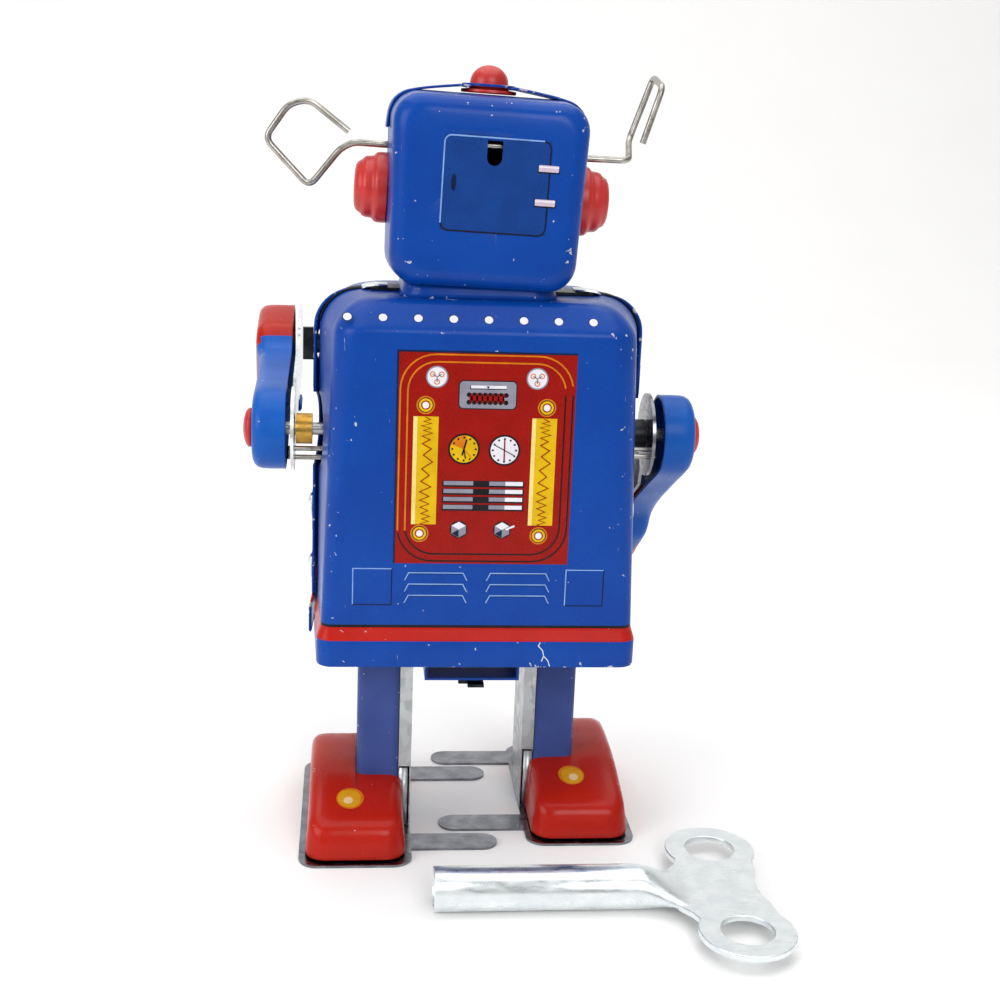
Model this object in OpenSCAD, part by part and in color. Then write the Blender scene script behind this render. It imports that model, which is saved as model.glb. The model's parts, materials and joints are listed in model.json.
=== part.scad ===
// Wind-up walking robot of pressed tin: printed covers around a clockwork
// motor, two feet on a crank, swinging arms, wire aerials and a loose key.
// The robot faces -Y, its own left is +X, and the floor is z = 0.
// Lengths are in millimetres and angles in degrees.

/* [Body] */
// Width of the flat back at the waist
body_w = 46.4; // [46:0.2:47]
// Depth of the body over both covers
body_d = 30; // [30:0.2:30.6]
// Height of the body's lower edge above the floor
body_foot_z = 31; // [30.6:0.2:31.4]
// Height of the body from its lower edge to its flat top
body_h = 55.6; // [55.6:0.1:56.2]
// Height of the flared skirt
skirt_h = 5.4; // [5:0.2:6]
// Thickness of the printed tin
sheet_t = 0.4; // [0.3:0.05:0.45]

/* [Head] */
// Width of the head's flat back near its top
head_w = 28.4; // [28:0.2:28.6]
// Depth of the head over both shells
head_d = 26; // [25.6:0.2:26.4]
// Height of the head
head_h = 27.9; // [27.6:0.1:28]
// Gap between the body's top and the head
neck_gap = 1.3; // [1.3:0.1:1.5]
// How far the head leans towards the robot's right
head_lean = 2; // [0:0.5:2.5]
// Diameter of the lamp on the head
lamp_d = 5.6; // [5:0.2:6]
// Diameter of an ear
ear_d = 10.4; // [10:0.2:10.6]
// Diameter of the aerial wire
wire_d = 1; // [0.8:0.1:1.1]

/* [Arms] */
// Height of the shoulder pivots above the floor
shoulder_z = 64.6; // [64:0.2:65]
// Distance between the outer faces of the two arms
arm_span = 69.6; // [69:0.2:70]
// Length of an arm from its pivot to its finger tips
arm_len = 38.5; // [37:0.5:40]
// Diameter of the round shoulder of an arm
shoulder_d = 12.7; // [12.2:0.1:13]
// Angle of the left arm, counted forward from hanging down
left_arm_angle = 104; // [45:1:108]
// Angle of the right arm, counted forward from hanging down
right_arm_angle = 50; // [45:1:108]
// How far the right hand is bent inwards
right_arm_bend = 2.6; // [0:0.2:2.8]

/* [Legs] */
// Distance between the inner faces of the two leg plates
leg_gap = 18.6; // [18.6:0.2:19]
// Width of a leg over its plate and its printed cover
leg_w = 8.7; // [8.2:0.1:9]
// Depth of a leg from front to back
leg_d = 11.9; // [11.5:0.1:12.2]
// Length of a sole
sole_len = 38; // [37:0.5:39]
// Width of a sole without its fingers
sole_w = 17.6; // [17.2:0.2:18]
// Distance that each foot travels from front to back
stride = 6.4; // [6:0.2:6.4]

/* [Motor] */
// Distance between the inner faces of the motor plates
plate_gap = 15; // [15:0.1:15.2]
// Module of all the gear teeth
gear_m = 0.5; // [0.49:0.005:0.505]
// Height of the winding arbor above the floor
arbor_z = 77.5; // [77.3:0.1:77.6]
// Diameter of the winding arbor
arbor_d = 3; // [2.8:0.1:3.2]
// Width of the mainspring
spring_w = 7.4; // [7:0.1:7.5]

/* [Key] */
// Length of the key over its tube and its bow
key_len = 51.5; // [50:0.5:54]
// Outer diameter of the key's rolled tube
key_tube_d = 6.6; // [6:0.1:6.8]
// Distance between the two finger holes
key_hole_gap = 24; // [23:0.5:25]

/* [Hidden] */
$fn = 48;

// Fits
run_gap = 0.05;         // radial clearance of a shaft in its hole
side_gap = 0.3;         // clearance between moving pieces side by side
cut = 1;                // how far a cutting shape runs past a face

// Body, derived
seam_y = 1;             // the covers meet here
body_top = body_foot_z + body_h;
skirt_top = body_foot_z + skirt_h;
draft = 1.4;            // how much wider a cover is at its mouth than at its face, each side
pan_d = body_d / 2;
band_drop = 4.2;        // height of the sloping band over the flat back
corner_r = 6;           // top corners of the covers, seen from behind
edge_r = 1.6;           // bend between a cover's face and its sides

// Head, derived
head_z = body_top + neck_gap;
head_top = head_z + head_h;
head_pan_d = head_d / 2;
head_taper = 0.6;       // how much narrower the head is at its bottom, each side
head_r = 5;             // corners of the head at its seam
strap_t = 0.3;
ear_z = 101.2;
ear_x = head_w / 2 + 0.25;
wire_z = 107.5;

// Motor, derived: every shaft runs along X, and its place is [y, z]
plate_t = 0.6;
plate_in = plate_gap / 2;
plate_out = plate_in + plate_t;
n_great = 32;
n_wheel = 28;
n_pinion = 10;
n_crank = 24;
n_governor = 9;
function centre_gap(a, b) = gear_m * (a + b) / 2;
arbor_at = [-2, arbor_z];
first_at = mesh_place(arbor_at, 5.5, centre_gap(n_great, n_pinion));
second_at = mesh_place(first_at, 0, centre_gap(n_wheel, n_pinion));
crank_at = mesh_place(second_at, 0, centre_gap(n_wheel, n_pinion));
governor_at = mesh_place(crank_at, 5.5, centre_gap(n_crank, n_governor));
pillar_places = [[-8, 44], [8.5, 58], [-9, 66], [8, 83]];
shoulder_at = [seam_y, shoulder_z];
crank_r = stride / 2;
guide_at = [0, crank_at[1] - 10];
shaft_r = 1;
wheel_t = 0.8;
// Where each wheel starts along X
great_x = -6.2;
first_wheel_x = -5.2;
second_wheel_x = -4;
crank_wheel_x = -1.6;
flywheel_x = 0.8;
ratchet_x = -7.1;

tray_z = 25.9;          // underside of the strap that closes the motor

// Legs, derived
leg_in = leg_gap / 2;
leg_plate_t = 0.5;
flange_w = 1.5;
leg_back = 4.9;
leg_front = leg_back - leg_d;
sole_t = 0.4;
sole_back = 18.4;
shoe_h = 9.8;
finger_w = 5;
finger_reach = 4.5;     // how far a finger crosses the robot's centre line
finger_places = [10.6, -14.5];

// Arms, derived
arm_out = arm_span / 2;
arm_plate_x = 28.3;
right_plate_in = 1.4;   // how much nearer to the body the right arm's plate sits
arm_plate_t = 0.5;
arm_mouth = arm_plate_x + arm_plate_t + 0.8;
hand_len = 13.5;
wrist_z = hand_len - arm_len;
hand_z = -arm_len + 6;
arm_wire_r = 0.4;
arm_wire_places = [3.2, 4.6];
// Turn from the pose above to the pose in which the wires hang straight down
wire_home_angle = 104;

// Colours of the finished pieces
tin_blue = "royalblue";
tin_red = "firebrick";
bare_steel = "silver";
dark_steel = [0.16, 0.16, 0.17];
brass = [0.78, 0.62, 0.3];

// ---------- helpers ----------

// Place above or below a shaft, at height offset y, at the meshing distance
function mesh_place(from, y, gap) = [y, from[1] - sqrt(gap * gap - pow(from[0] - y, 2))];

// Direction from one shaft to the next
function line_angle(a, b) = atan2(b[1] - a[1], b[0] - a[0]);

// Phase of the follower whose gap takes the driver's tooth
function mesh_phase(a, b, n_a, n_b, phase_a) =
    let (line = line_angle(a, b))
    line + 180 + 180 / n_b - (phase_a - line) * n_a / n_b;

function involute(angle) = tan(angle) * 180 / PI - angle;

// Half of a tooth's angle at radius r
function tooth_half_angle(r, n) =
    let (base_r = gear_m * n / 2 * cos(20),
         press = r > base_r ? acos(base_r / r) : 0)
    90 * 0.84 / n + involute(20) - involute(press);

function polar(r, a) = [r * cos(a), r * sin(a)];

function gear_points(n, phase) =
    let (pitch_r = gear_m * n / 2,
         base_r = pitch_r * cos(20),
         root_r = pitch_r - 1.15 * gear_m,
         tip_r = pitch_r + 0.8 * gear_m,
         low_r = max(base_r, root_r + 0.01),
         steps = [root_r, low_r, (low_r + pitch_r) / 2, pitch_r, (pitch_r + tip_r) / 2, tip_r])
    [for (i = [0 : n - 1], side = [-1, 1], k = [0 : 5])
        let (r = steps[side < 0 ? k : 5 - k])
        polar(r, phase + i * 360 / n + side * tooth_half_angle(r, n))];

// Extrudes a [y, z] outline along X from x0
module along_x(x0, len) {
    translate([x0, 0, 0]) rotate([90, 0, 90]) linear_extrude(len) children();
}

// Round bar along X
module bar_x(x0, len, r, at) {
    translate([x0, at[0], at[1]]) rotate([0, 90, 0]) cylinder(r = r, h = len);
}

module gear(x0, len, n, phase, at, bore_r) {
    difference() {
        along_x(x0, len) translate(at) polygon(gear_points(n, phase));
        bar_x(x0 - cut, len + 2 * cut, bore_r, at);
    }
}

// Straight wire between two points, with a round bend at its far end
module wire_run(a, b, r) {
    d = b - a;
    translate(a) rotate([0, acos(d[2] / norm(d)), atan2(d[1], d[0])]) cylinder(r = r, h = norm(d), $fn = 24);
    translate(b) sphere(r = r + 0.02, $fn = 24);
}

module rounded_box_2d(size, r) {
    translate([r, 0]) square([size[0] - 2 * r, size[1]]);
    translate([0, r]) square([size[0], size[1] - 2 * r]);
    for (x = [r, size[0] - r], y = [r, size[1] - r]) translate([x, y]) circle(r);
}

// Copies for the robot's own left (+X) or right
module on_side(side) {
    if (side > 0) children();
    else mirror([1, 0, 0]) children();
}

// Turns a piece from behind the seam to in front of it
module front_of_seam() {
    translate([0, 2 * seam_y, 0]) mirror([0, 1, 0]) children();
}

// ---------- covers of the body ----------

// Solid shape of one body cover behind the seam, drawn in by inset all round
module cover_solid(inset) {
    mouth_w = body_w / 2 + draft;
    back_y = seam_y + pan_d - edge_r;
    hull() {
        for (side = [-1, 1]) {
            translate([side * (mouth_w - corner_r), seam_y + sheet_t, body_top - corner_r])
                rotate([90, 0, 0]) cylinder(r = corner_r - inset, h = sheet_t + (inset > 0 ? cut : 0), $fn = 40);
            translate([side * (mouth_w - 1 - inset) - 1, seam_y - (inset > 0 ? cut : 0), skirt_top - sheet_t - inset])
                cube([2, sheet_t, 1]);
            for (z = [skirt_top, body_top - band_drop - edge_r / 2])
                translate([side * (body_w / 2 + 0.7 - edge_r - (z - skirt_top) * 0.03), back_y, z])
                    sphere(r = edge_r - inset, $fn = 24);
            translate([side * (body_w / 2 - corner_r), back_y - 3.4, body_top - edge_r])
                sphere(r = edge_r - inset, $fn = 24);
        }
    }
}

// Skirt below the covers, which stands out all round
module skirt_solid(inset) {
    skirt_w = body_w / 2 + 1.3;
    hull() for (side = [-1, 1]) {
        translate([side * (skirt_w - 2.4), seam_y + pan_d - 1.6, body_foot_z - (inset > 0 ? cut : 0)])
            cylinder(r = 2.4 - inset, h = skirt_h - inset + (inset > 0 ? cut : 0), $fn = 32);
        translate([side * (skirt_w + 0.6 - 1 - inset) - 1, seam_y - (inset > 0 ? cut : 0),
                   body_foot_z - (inset > 0 ? cut : 0)])
            cube([2, sheet_t, skirt_h - inset + (inset > 0 ? cut : 0)]);
    }
}

module body_cover() {
    difference() {
        union() {
            cover_solid(0);
            skirt_solid(0);
        }
        cover_solid(sheet_t);
        skirt_solid(sheet_t);
    }
}

// Round openings in the sides for the shoulder pivots and the arm wires
module shoulder_openings() {
    bar_x(-body_w, 2 * body_w, 5.8, shoulder_at);
}

module rear_cover() {
    color(tin_blue) difference() {
        body_cover();
        shoulder_openings();
    }
}

module front_cover() {
    color(tin_blue) difference() {
        front_of_seam() body_cover();
        shoulder_openings();
        bar_x(0, body_w, arbor_d / 2 + 0.4, arbor_at);
    }
}

// Strip across the top that carries the head on a short collar
module neck_plate() {
    color(dark_steel) {
        translate([-17, seam_y - 2.5, body_top + 0.1]) cube([34, 5, sheet_t]);
        translate([0, seam_y, body_top + 0.1 + sheet_t])
            cylinder(r = 6, h = neck_gap - sheet_t - 0.15 - 6 * sin(head_lean));
    }
}

// ---------- head: drawn upright, then leant about the middle of its top ----------

module head_pose() {
    translate([0, 0, head_top]) rotate([0, -head_lean, 0]) translate([0, 0, -head_top]) children();
}

// Solid shape of one head shell behind the seam
module head_solid(inset) {
    mouth_y = seam_y + sheet_t;
    face_r = 3;
    hull() for (side = [-1, 1], up = [0, 1]) {
        half = head_w / 2 - (1 - up) * head_taper;
        translate([side * (half + 0.3 - head_r), mouth_y, up ? head_top - head_r : head_z + head_r])
            rotate([90, 0, 0]) cylinder(r = head_r - inset, h = sheet_t + (inset > 0 ? cut : 0), $fn = 40);
        translate([side * (half - face_r), seam_y + head_pan_d - face_r, up ? head_top - face_r : head_z + face_r])
            sphere(r = face_r - inset, $fn = 28);
    }
}

module head_openings() {
    bar_x(-head_w, 2 * head_w, wire_d / 2 + 0.2, [seam_y, wire_z]);
    translate([0, seam_y, head_top - 2]) cylinder(r = 1.2, h = 4);
}

module head_rear_shell() {
    color(tin_blue) head_pose() difference() {
        head_solid(0);
        head_solid(sheet_t);
        head_openings();
        // slot in the printed hatch
        translate([0.4, seam_y + head_pan_d - 2, wire_z - 1.6]) {
            rotate([-90, 0, 0]) cylinder(r = 1.1, h = 4);
            translate([-1.1, 0, 0]) cube([2.2, 4, 3.6]);
        }
    }
}

module head_front_shell() {
    color(tin_blue) head_pose() difference() {
        front_of_seam() head_solid(0);
        front_of_seam() head_solid(sheet_t);
        head_openings();
    }
}

// Springy strap over the head; its middle holds the lamp's flange down
strap_half = [[0, head_top + 1.2], [3.7, head_top + 1.3], [9.5, head_top + 0.35],
              [head_w / 2 + 0.6, head_top - 1], [head_w / 2 + 1, head_top - 2.4]];

module head_strap() {
    wide = 8;
    last = len(strap_half) - 1;
    under = [for (i = [-last : last]) [sign(i) * strap_half[abs(i)][0], strap_half[abs(i)][1]]];
    over = [for (i = [last : -1 : -last])
        [sign(i) * (strap_half[abs(i)][0] + (abs(i) > 2 ? strap_t : 0)), strap_half[abs(i)][1] + strap_t]];
    color(bare_steel) head_pose() difference() {
        translate([0, seam_y + wide / 2, 0]) rotate([90, 0, 0]) linear_extrude(wide) polygon(concat(under, over));
        translate([0, seam_y, head_top]) cylinder(r = lamp_d / 2 + 0.05, h = 4);
    }
}

// Bullet-shaped lamp with a flange under the strap
module head_lamp() {
    r = lamp_d / 2;
    tall = 4.2;
    color(tin_red) head_pose() translate([0, seam_y, head_top]) {
        translate([0, 0, 0.1]) cylinder(r = 4, h = 0.6);
        translate([0, 0, 0.7]) rotate_extrude() polygon(concat([[0, 0], [r, 0]],
            [for (a = [0 : 15 : 90]) [r * cos(a), 1 + (tall - 1.7) * sin(a)]]));
        translate([0, 0, -1.5]) cylinder(r = 1.1, h = 1.6);
    }
}

// Stepped round ear
module ear() {
    r = ear_d / 2;
    translate([ear_x, seam_y, ear_z]) rotate([0, 90, 0]) rotate_extrude()
        polygon([[0, 0], [r, 0], [r, 1.6], [r - 0.4, 2.3], [r - 1.2, 2.8], [3.1, 3.2],
                 [2.9, 4.2], [2.3, 4.8], [1.2, 5.1], [0, 5.2]]);
}

module left_ear() { color(tin_red) head_pose() on_side(1) ear(); }
module right_ear() { color(tin_red) head_pose() on_side(-1) ear(); }

// One wire through the head, bent into an open diamond at each end
aerial_left = [[20.2, 1, 107.5], [21.7, 1, 106.9], [26.6, 1, 101.7], [32.6, 1, 108.3],
               [26.2, 1, 114.2], [20.6, 1, 109.6]];
aerial_right = [[-22, 1, 107.7], [-23, -6.2, 110.6], [-26.2, -7.4, 120.3],
                [-26.2, 0.6, 118.8], [-23.9, 0.9, 110.4]];

module aerial_wire() {
    points = concat([for (i = [len(aerial_left) - 1 : -1 : 0]) aerial_left[i]], aerial_right);
    color(bare_steel) head_pose() for (i = [1 : len(points) - 1]) wire_run(points[i - 1], points[i], wire_d / 2);
}

// ---------- motor ----------

module motor_plate_outline() {
    difference() {
        union() {
            translate([-10.5, 34]) rounded_box_2d([21, body_top - 35], 2);
            // tabs that reach the covers
            translate([seam_y - pan_d + sheet_t + 0.05, 60]) square([body_d - 2 * sheet_t - 0.1, 3]);
        }
        for (at = [first_at, second_at, crank_at, governor_at]) translate(at) circle(shaft_r + run_gap);
        translate(arbor_at) circle(arbor_d / 2 + run_gap);
        for (at = pillar_places) translate(at) circle(0.7);
        translate(guide_at) circle(0.8);
        translate(shoulder_at) circle(shaft_r);
    }
}

module left_motor_plate() { color(bare_steel) along_x(plate_in, plate_t) motor_plate_outline(); }
module right_motor_plate() { color(bare_steel) along_x(-plate_out, plate_t) motor_plate_outline(); }

module motor_pillars() {
    color(bare_steel) for (at = pillar_places) {
        bar_x(-plate_in, plate_gap, 1.2, at);
        bar_x(-plate_out - 0.2, 2 * plate_out + 0.4, 0.7, at);
    }
}

// Printed scrap-tin strap that closes the motor from below
module under_tray() {
    wall_x = plate_in - sheet_t;
    color(tin_blue) {
        translate([-plate_in, -6, tray_z]) cube([plate_gap, 15, sheet_t]);
        for (x = [-plate_in, wall_x]) translate([x, -6, tray_z + sheet_t]) cube([sheet_t, 15, 13.6]);
    }
}

// Bent steel hook below the strap
module tray_hook() {
    color(dark_steel) translate([-2, 6.2, tray_z - 1.4]) {
        cube([4, 0.8, 1.4]);
        translate([0, 0.8, 0]) cube([2.6, 1.6, 0.5]);
    }
}

// Pins that keep the tops of the legs upright
module leg_guide_pins() {
    color(bare_steel) for (side = [-1, 1]) on_side(side) bar_x(plate_in, leg_in - plate_in + 2, 0.8, guide_at);
}

// Coiled strip around the arbor, hooked to a pillar at its outer end
module mainspring() {
    turns = 5;
    inner_r = arbor_d / 2 + 0.6;
    outer_r = 7.6;
    strip_t = 0.35;
    fade = outer_r - inner_r;
    spiral = [for (a = [0 : 20 : turns * 360]) [inner_r + fade * a / (turns * 360), a]];
    color(dark_steel) along_x(-2.4, spring_w) translate(arbor_at) polygon(concat(
        [for (p = spiral) polar(p[0], p[1])],
        [for (i = [len(spiral) - 1 : -1 : 0]) polar(spiral[i][0] + strip_t, spiral[i][1])]));
}

great_phase = line_angle(arbor_at, first_at);
first_pinion_phase = mesh_phase(arbor_at, first_at, n_great, n_pinion, great_phase);
first_wheel_phase = line_angle(first_at, second_at);
second_pinion_phase = mesh_phase(first_at, second_at, n_wheel, n_pinion, first_wheel_phase);
second_wheel_phase = line_angle(second_at, crank_at);
crank_pinion_phase = mesh_phase(second_at, crank_at, n_wheel, n_pinion, second_wheel_phase);
crank_wheel_phase = line_angle(crank_at, governor_at);
governor_phase = mesh_phase(crank_at, governor_at, n_crank, n_governor, crank_wheel_phase);

click_at = arbor_at + polar(5.2, 120);
click_spring_at = arbor_at + polar(6, 200);

module great_wheel() {
    color(brass) {
        gear(great_x, wheel_t, n_great, great_phase, arbor_at, arbor_d / 2 + run_gap);
        // rivet that the click turns on
        bar_x(ratchet_x - 0.1, great_x - ratchet_x + 0.1, 0.5, click_at);
    }
}

// Round arbor whose outer end is pressed into two wings for the key
module winding_arbor() {
    out_x = 25.6;
    color(dark_steel) {
        bar_x(-plate_out - 0.4, out_x + plate_out + 0.4, arbor_d / 2, arbor_at);
        translate([out_x, arbor_at[0] - 0.5, arbor_at[1] - 2.5]) cube([1.6, 1, 5]);
    }
}

// Saw-toothed wheel fixed on the arbor
module ratchet_wheel() {
    teeth = 12;
    color(bare_steel) difference() {
        along_x(ratchet_x, 0.6) translate(arbor_at) polygon(
            [for (i = [0 : teeth - 1], k = [0, 1]) polar(k == 0 ? 2.5 : 3.4, i * 360 / teeth + (k == 0 ? 0 : 3))]);
        bar_x(ratchet_x - cut, 3, arbor_d / 2, arbor_at);
    }
}

// Small lever that drops behind the ratchet's teeth
module click() {
    color(bare_steel) difference() {
        along_x(ratchet_x, 0.6) translate(click_at) {
            circle(1.1);
            rotate(-42) translate([-0.5, -2.5]) square([1, 2.5]);
        }
        bar_x(ratchet_x - cut, 3, 0.5 + run_gap, click_at);
    }
}

// Fine wire that presses the click
module click_spring() {
    color(bare_steel) along_x(ratchet_x + 0.1, 0.4) translate(arbor_at) {
        translate(polar(6, 200)) circle(0.6);
        rotate(150) difference() {
            intersection() {
                circle(6.15);
                polygon([[0, 0], polar(9, 2), polar(9, 30), polar(9, 52)]);
            }
            circle(5.85);
        }
    }
}

// Arbor with a pinion cut on it
module pinion_arbor(pinion_x, pinion_len, n, phase, at) {
    gear(pinion_x, pinion_len, n, phase, at, shaft_r);
    bar_x(-plate_out - 0.2, 2 * plate_out + 0.4, shaft_r, at);
}

module first_arbor() { color(bare_steel) pinion_arbor(great_x - 0.3, 1.3, n_pinion, first_pinion_phase, first_at); }
module first_wheel() { color(brass) gear(first_wheel_x, wheel_t, n_wheel, first_wheel_phase, first_at, shaft_r); }
module second_arbor() {
    color(bare_steel) pinion_arbor(first_wheel_x - 0.3, 1.5, n_pinion, second_pinion_phase, second_at);
}
module second_wheel() { color(brass) gear(second_wheel_x, wheel_t, n_wheel, second_wheel_phase, second_at, shaft_r); }

module crank_shaft() { color(bare_steel) bar_x(-plate_out - 0.9, 2 * plate_out + 1.8, shaft_r, crank_at); }
module crank_pinion() {
    color(bare_steel) gear(second_wheel_x - 0.3, 1.4, n_pinion, crank_pinion_phase, crank_at, shaft_r);
}
module crank_wheel() { color(brass) gear(crank_wheel_x, wheel_t, n_crank, crank_wheel_phase, crank_at, shaft_r); }

// Disc on the shaft's end with a headed pin that carries a leg
module crank(side) {
    disc_x = plate_out + side_gap;
    disc_t = leg_in - side_gap - disc_x;
    pin = crank_at + [side * crank_r, 0];
    head_x = leg_in + leg_plate_t + side_gap;
    on_side(side) {
        difference() {
            bar_x(disc_x, disc_t, crank_r + 1.4, crank_at);
            bar_x(disc_x - cut, disc_t + 2 * cut, shaft_r, crank_at);
        }
        bar_x(disc_x + disc_t, head_x - disc_x - disc_t, shaft_r, pin);
        bar_x(head_x, 0.5, 1.6, pin);
    }
}

module left_crank() { color(bare_steel) crank(1); }
module right_crank() { color(bare_steel) crank(-1); }

module governor_pinion() {
    color(bare_steel) pinion_arbor(crank_wheel_x - 0.3, 1.4, n_governor, governor_phase, governor_at);
}

// Solid disc that evens the motor's speed
module governor_flywheel() {
    color(brass) difference() {
        bar_x(flywheel_x, 3, 5, governor_at);
        bar_x(flywheel_x - cut, 5, shaft_r, governor_at);
    }
}

// ---------- legs: drawn for a left leg midway through its stride ----------

module leg_plate() {
    top_z = crank_at[1] + 5;
    wide = 14;
    difference() {
        along_x(leg_in, leg_plate_t) {
            translate([leg_front, sole_t]) square([leg_d, guide_at[1] - sole_t]);
            translate([-wide / 2, guide_at[1] - 7]) rounded_box_2d([wide, top_z - guide_at[1] + 7], 3);
        }
        bar_x(leg_in - cut, 3, shaft_r + run_gap, crank_at);
        // guide opening, wide enough for the whole circle that the leg makes
        bar_x(leg_in - cut, 3, crank_r + 0.8 + side_gap, guide_at);
    }
    for (y = [leg_front, leg_back - leg_plate_t])
        translate([leg_in + leg_plate_t, y, sole_t + shoe_h + 0.2]) cube([flange_w, leg_plate_t, 26.6]);
}

module leg_cover() {
    x0 = leg_in + leg_plate_t + flange_w + 0.05;
    wide = leg_in + leg_w - x0;
    translate([x0, leg_front, 3]) difference() {
        cube([wide, leg_d, 34]);
        translate([-cut, sheet_t, -cut]) cube([wide + cut - sheet_t, leg_d - 2 * sheet_t, 40]);
    }
}

// Solid shape of a shoe, drawn in by inset all round
module shoe_solid(inset) {
    in_x = leg_in + 1;
    out_x = leg_in + sole_w - 1;
    heel_y = sole_back - 1.1;
    toe_y = sole_back - sole_len + 1.1;
    base = sole_t - (inset > 0 ? cut : 0);
    hull() {
        for (x = [in_x + 2.6, out_x - 2.6], y = [toe_y + 2.6, heel_y - 2.6])
            translate([x, y, base]) cylinder(r = 2.6 - inset, h = 1, $fn = 32);
        for (x = [in_x + 2.4, out_x - 2.9], at = [[heel_y - 2.6, 4.6], [toe_y + 2.8, 4.4]])
            translate([x, at[0], at[1]]) sphere(r = 2 - inset, $fn = 24);
        for (x = [in_x + 2.6, out_x - 3.8], at = [[8, shoe_h - 3], [-9.5, shoe_h - 2]])
            translate([x, at[0], sole_t + at[1]]) sphere(r = 2 - inset, $fn = 24);
    }
}

module shoe() {
    x0 = leg_in + leg_plate_t + flange_w - 0.05;
    difference() {
        shoe_solid(0);
        shoe_solid(sheet_t);
        // opening that the leg cover passes through
        translate([x0, leg_front - 0.1, 5]) cube([leg_in + leg_w + 0.1 - x0, leg_d + 0.2, 8]);
    }
}

// Flat sole with two fingers that reach under the other side
module sole() {
    reach = leg_in + finger_reach;
    linear_extrude(sole_t) {
        translate([leg_in, sole_back - sole_len]) rounded_box_2d([sole_w, sole_len], 3);
        for (y = finger_places) {
            translate([-finger_reach + finger_w / 2, y - finger_w / 2]) square([reach + 2 - finger_w / 2, finger_w]);
            translate([-finger_reach + finger_w / 2, y]) circle(finger_w / 2);
        }
    }
}

// The left foot stands back and the right foot forward by half a stride
module leg_side(side) {
    translate([0, side * crank_r, 0]) on_side(side) children();
}

module left_leg_plate() { color(bare_steel) leg_side(1) leg_plate(); }
module left_leg_cover() { color(tin_blue) leg_side(1) leg_cover(); }
module left_shoe() { color(tin_red) leg_side(1) shoe(); }
module left_sole() { color(bare_steel) leg_side(1) sole(); }
module right_leg_plate() { color(bare_steel) leg_side(-1) leg_plate(); }
module right_leg_cover() { color(tin_blue) leg_side(-1) leg_cover(); }
module right_shoe() { color(tin_red) leg_side(-1) shoe(); }
module right_sole() { color(bare_steel) leg_side(-1) sole(); }

// ---------- arms: drawn for a left arm that hangs down from [0, 0] ----------

// Puts a hanging left arm on one side, turned forward
module arm_side(side, angle) {
    on_side(side) translate([0, shoulder_at[0], shoulder_at[1]]) rotate([-angle, 0, 0]) children();
}

// Solid shape of the arm from its shoulder to its wrist
module arm_solid(inset, bend) {
    base = arm_mouth - (inset > 0 ? cut : 0);
    wrist_base = base - bend * wrist_z / hand_z;
    wrist_out = arm_out - bend * wrist_z / hand_z;
    r = shoulder_d / 2;
    hull() {
        bar_x(base, arm_out - 1.6 - base, r - inset, [0, 0]);
        bar_x(base, arm_out - inset - base, r - 1.6 - inset / 2, [0, 0]);
        bar_x(wrist_base, wrist_out - 2.6 - wrist_base, 4.2 - inset, [0, wrist_z]);
        bar_x(wrist_base, wrist_out - 1.6 - inset - wrist_base, 3 - inset / 2, [0, wrist_z]);
    }
}

// Solid shape of the flared hand
module hand_solid(inset, bend) {
    base = arm_mouth - bend - (inset > 0 ? cut : 0);
    out = arm_out - bend;
    tip = -arm_len + 2.6;
    hull() for (y = [-3.7, 3.7], z = [tip, tip + 7]) {
        bar_x(base, out - 1.2 - base, 2.6 - inset, [y, z]);
        bar_x(base, out - inset - base, 1.4 - inset / 2, [y, z]);
    }
}

module arm_shell(bend) {
    difference() {
        union() {
            arm_solid(0, bend);
            hand_solid(0, bend);
        }
        arm_solid(sheet_t, bend);
        hand_solid(sheet_t, bend);
        bar_x(arm_out - 3, 6, 2, [0, 0]);
    }
}

// Steel plate that backs the arm: a flat disc and a blade that follows the bend
module arm_plate(bend, plate_x) {
    r = shoulder_d / 2 + 0.2;
    difference() {
        along_x(plate_x, arm_plate_t) circle(r);
        bar_x(plate_x - cut, 3, shaft_r + run_gap, [0, 0]);
        wire_places() bar_x(plate_x - cut, 3, arm_wire_r, [0, 0]);
    }
    translate([plate_x, 0, 1 - r]) rotate([0, atan2(bend, -hand_z - r), 0]) along_x(0, arm_plate_t) {
        polygon([[-3, 0], [-5.2, -2], [-4.4, wrist_z + r - 3], [4.4, wrist_z + r - 3], [5.2, -2], [3, 0]]);
        translate([-6.4, -arm_len + r - 1.1]) rounded_box_2d([12.8, 12.6], 3);
    }
}

// Both runs of the bent wire, below the pivot when the arm is raised
module wire_places() {
    for (r = arm_wire_places) rotate([wire_home_angle, 0, 0]) translate([0, 0, -r]) children();
}

module arm_wire(plate_x) {
    in_x = 19;
    bend_x = plate_x + arm_plate_t + arm_wire_r;
    wire_places() bar_x(in_x, bend_x - in_x, arm_wire_r, [0, 0]);
    rotate([wire_home_angle, 0, 0]) translate([bend_x, 0, -arm_wire_places[1]])
        cylinder(r = arm_wire_r, h = arm_wire_places[1] - arm_wire_places[0]);
    wire_places() translate([bend_x, 0, 0]) sphere(r = arm_wire_r);
}

// Red button that closes the shoulder
module arm_cap() {
    translate([arm_out - 1.4, 0, 0]) rotate([0, 90, 0]) {
        cylinder(r = 1.95, h = 1.45);
        translate([0, 0, 1.45]) rotate_extrude() polygon([[0, 0], [3, 0], [3, 0.5], [2.5, 1], [1.4, 1.3], [0, 1.4]]);
    }
}

// Fixed pin from the motor plate to the inside of the arm
module arm_pivot() {
    bar_x(plate_in, arm_out - 2.6 - plate_in, shaft_r, shoulder_at);
}

module bush(plate_x) {
    difference() {
        bar_x(plate_x - 0.2 - 2.5, 2.5, 2.4, shoulder_at);
        bar_x(plate_x - 4, 6, shaft_r, shoulder_at);
    }
}

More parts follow.
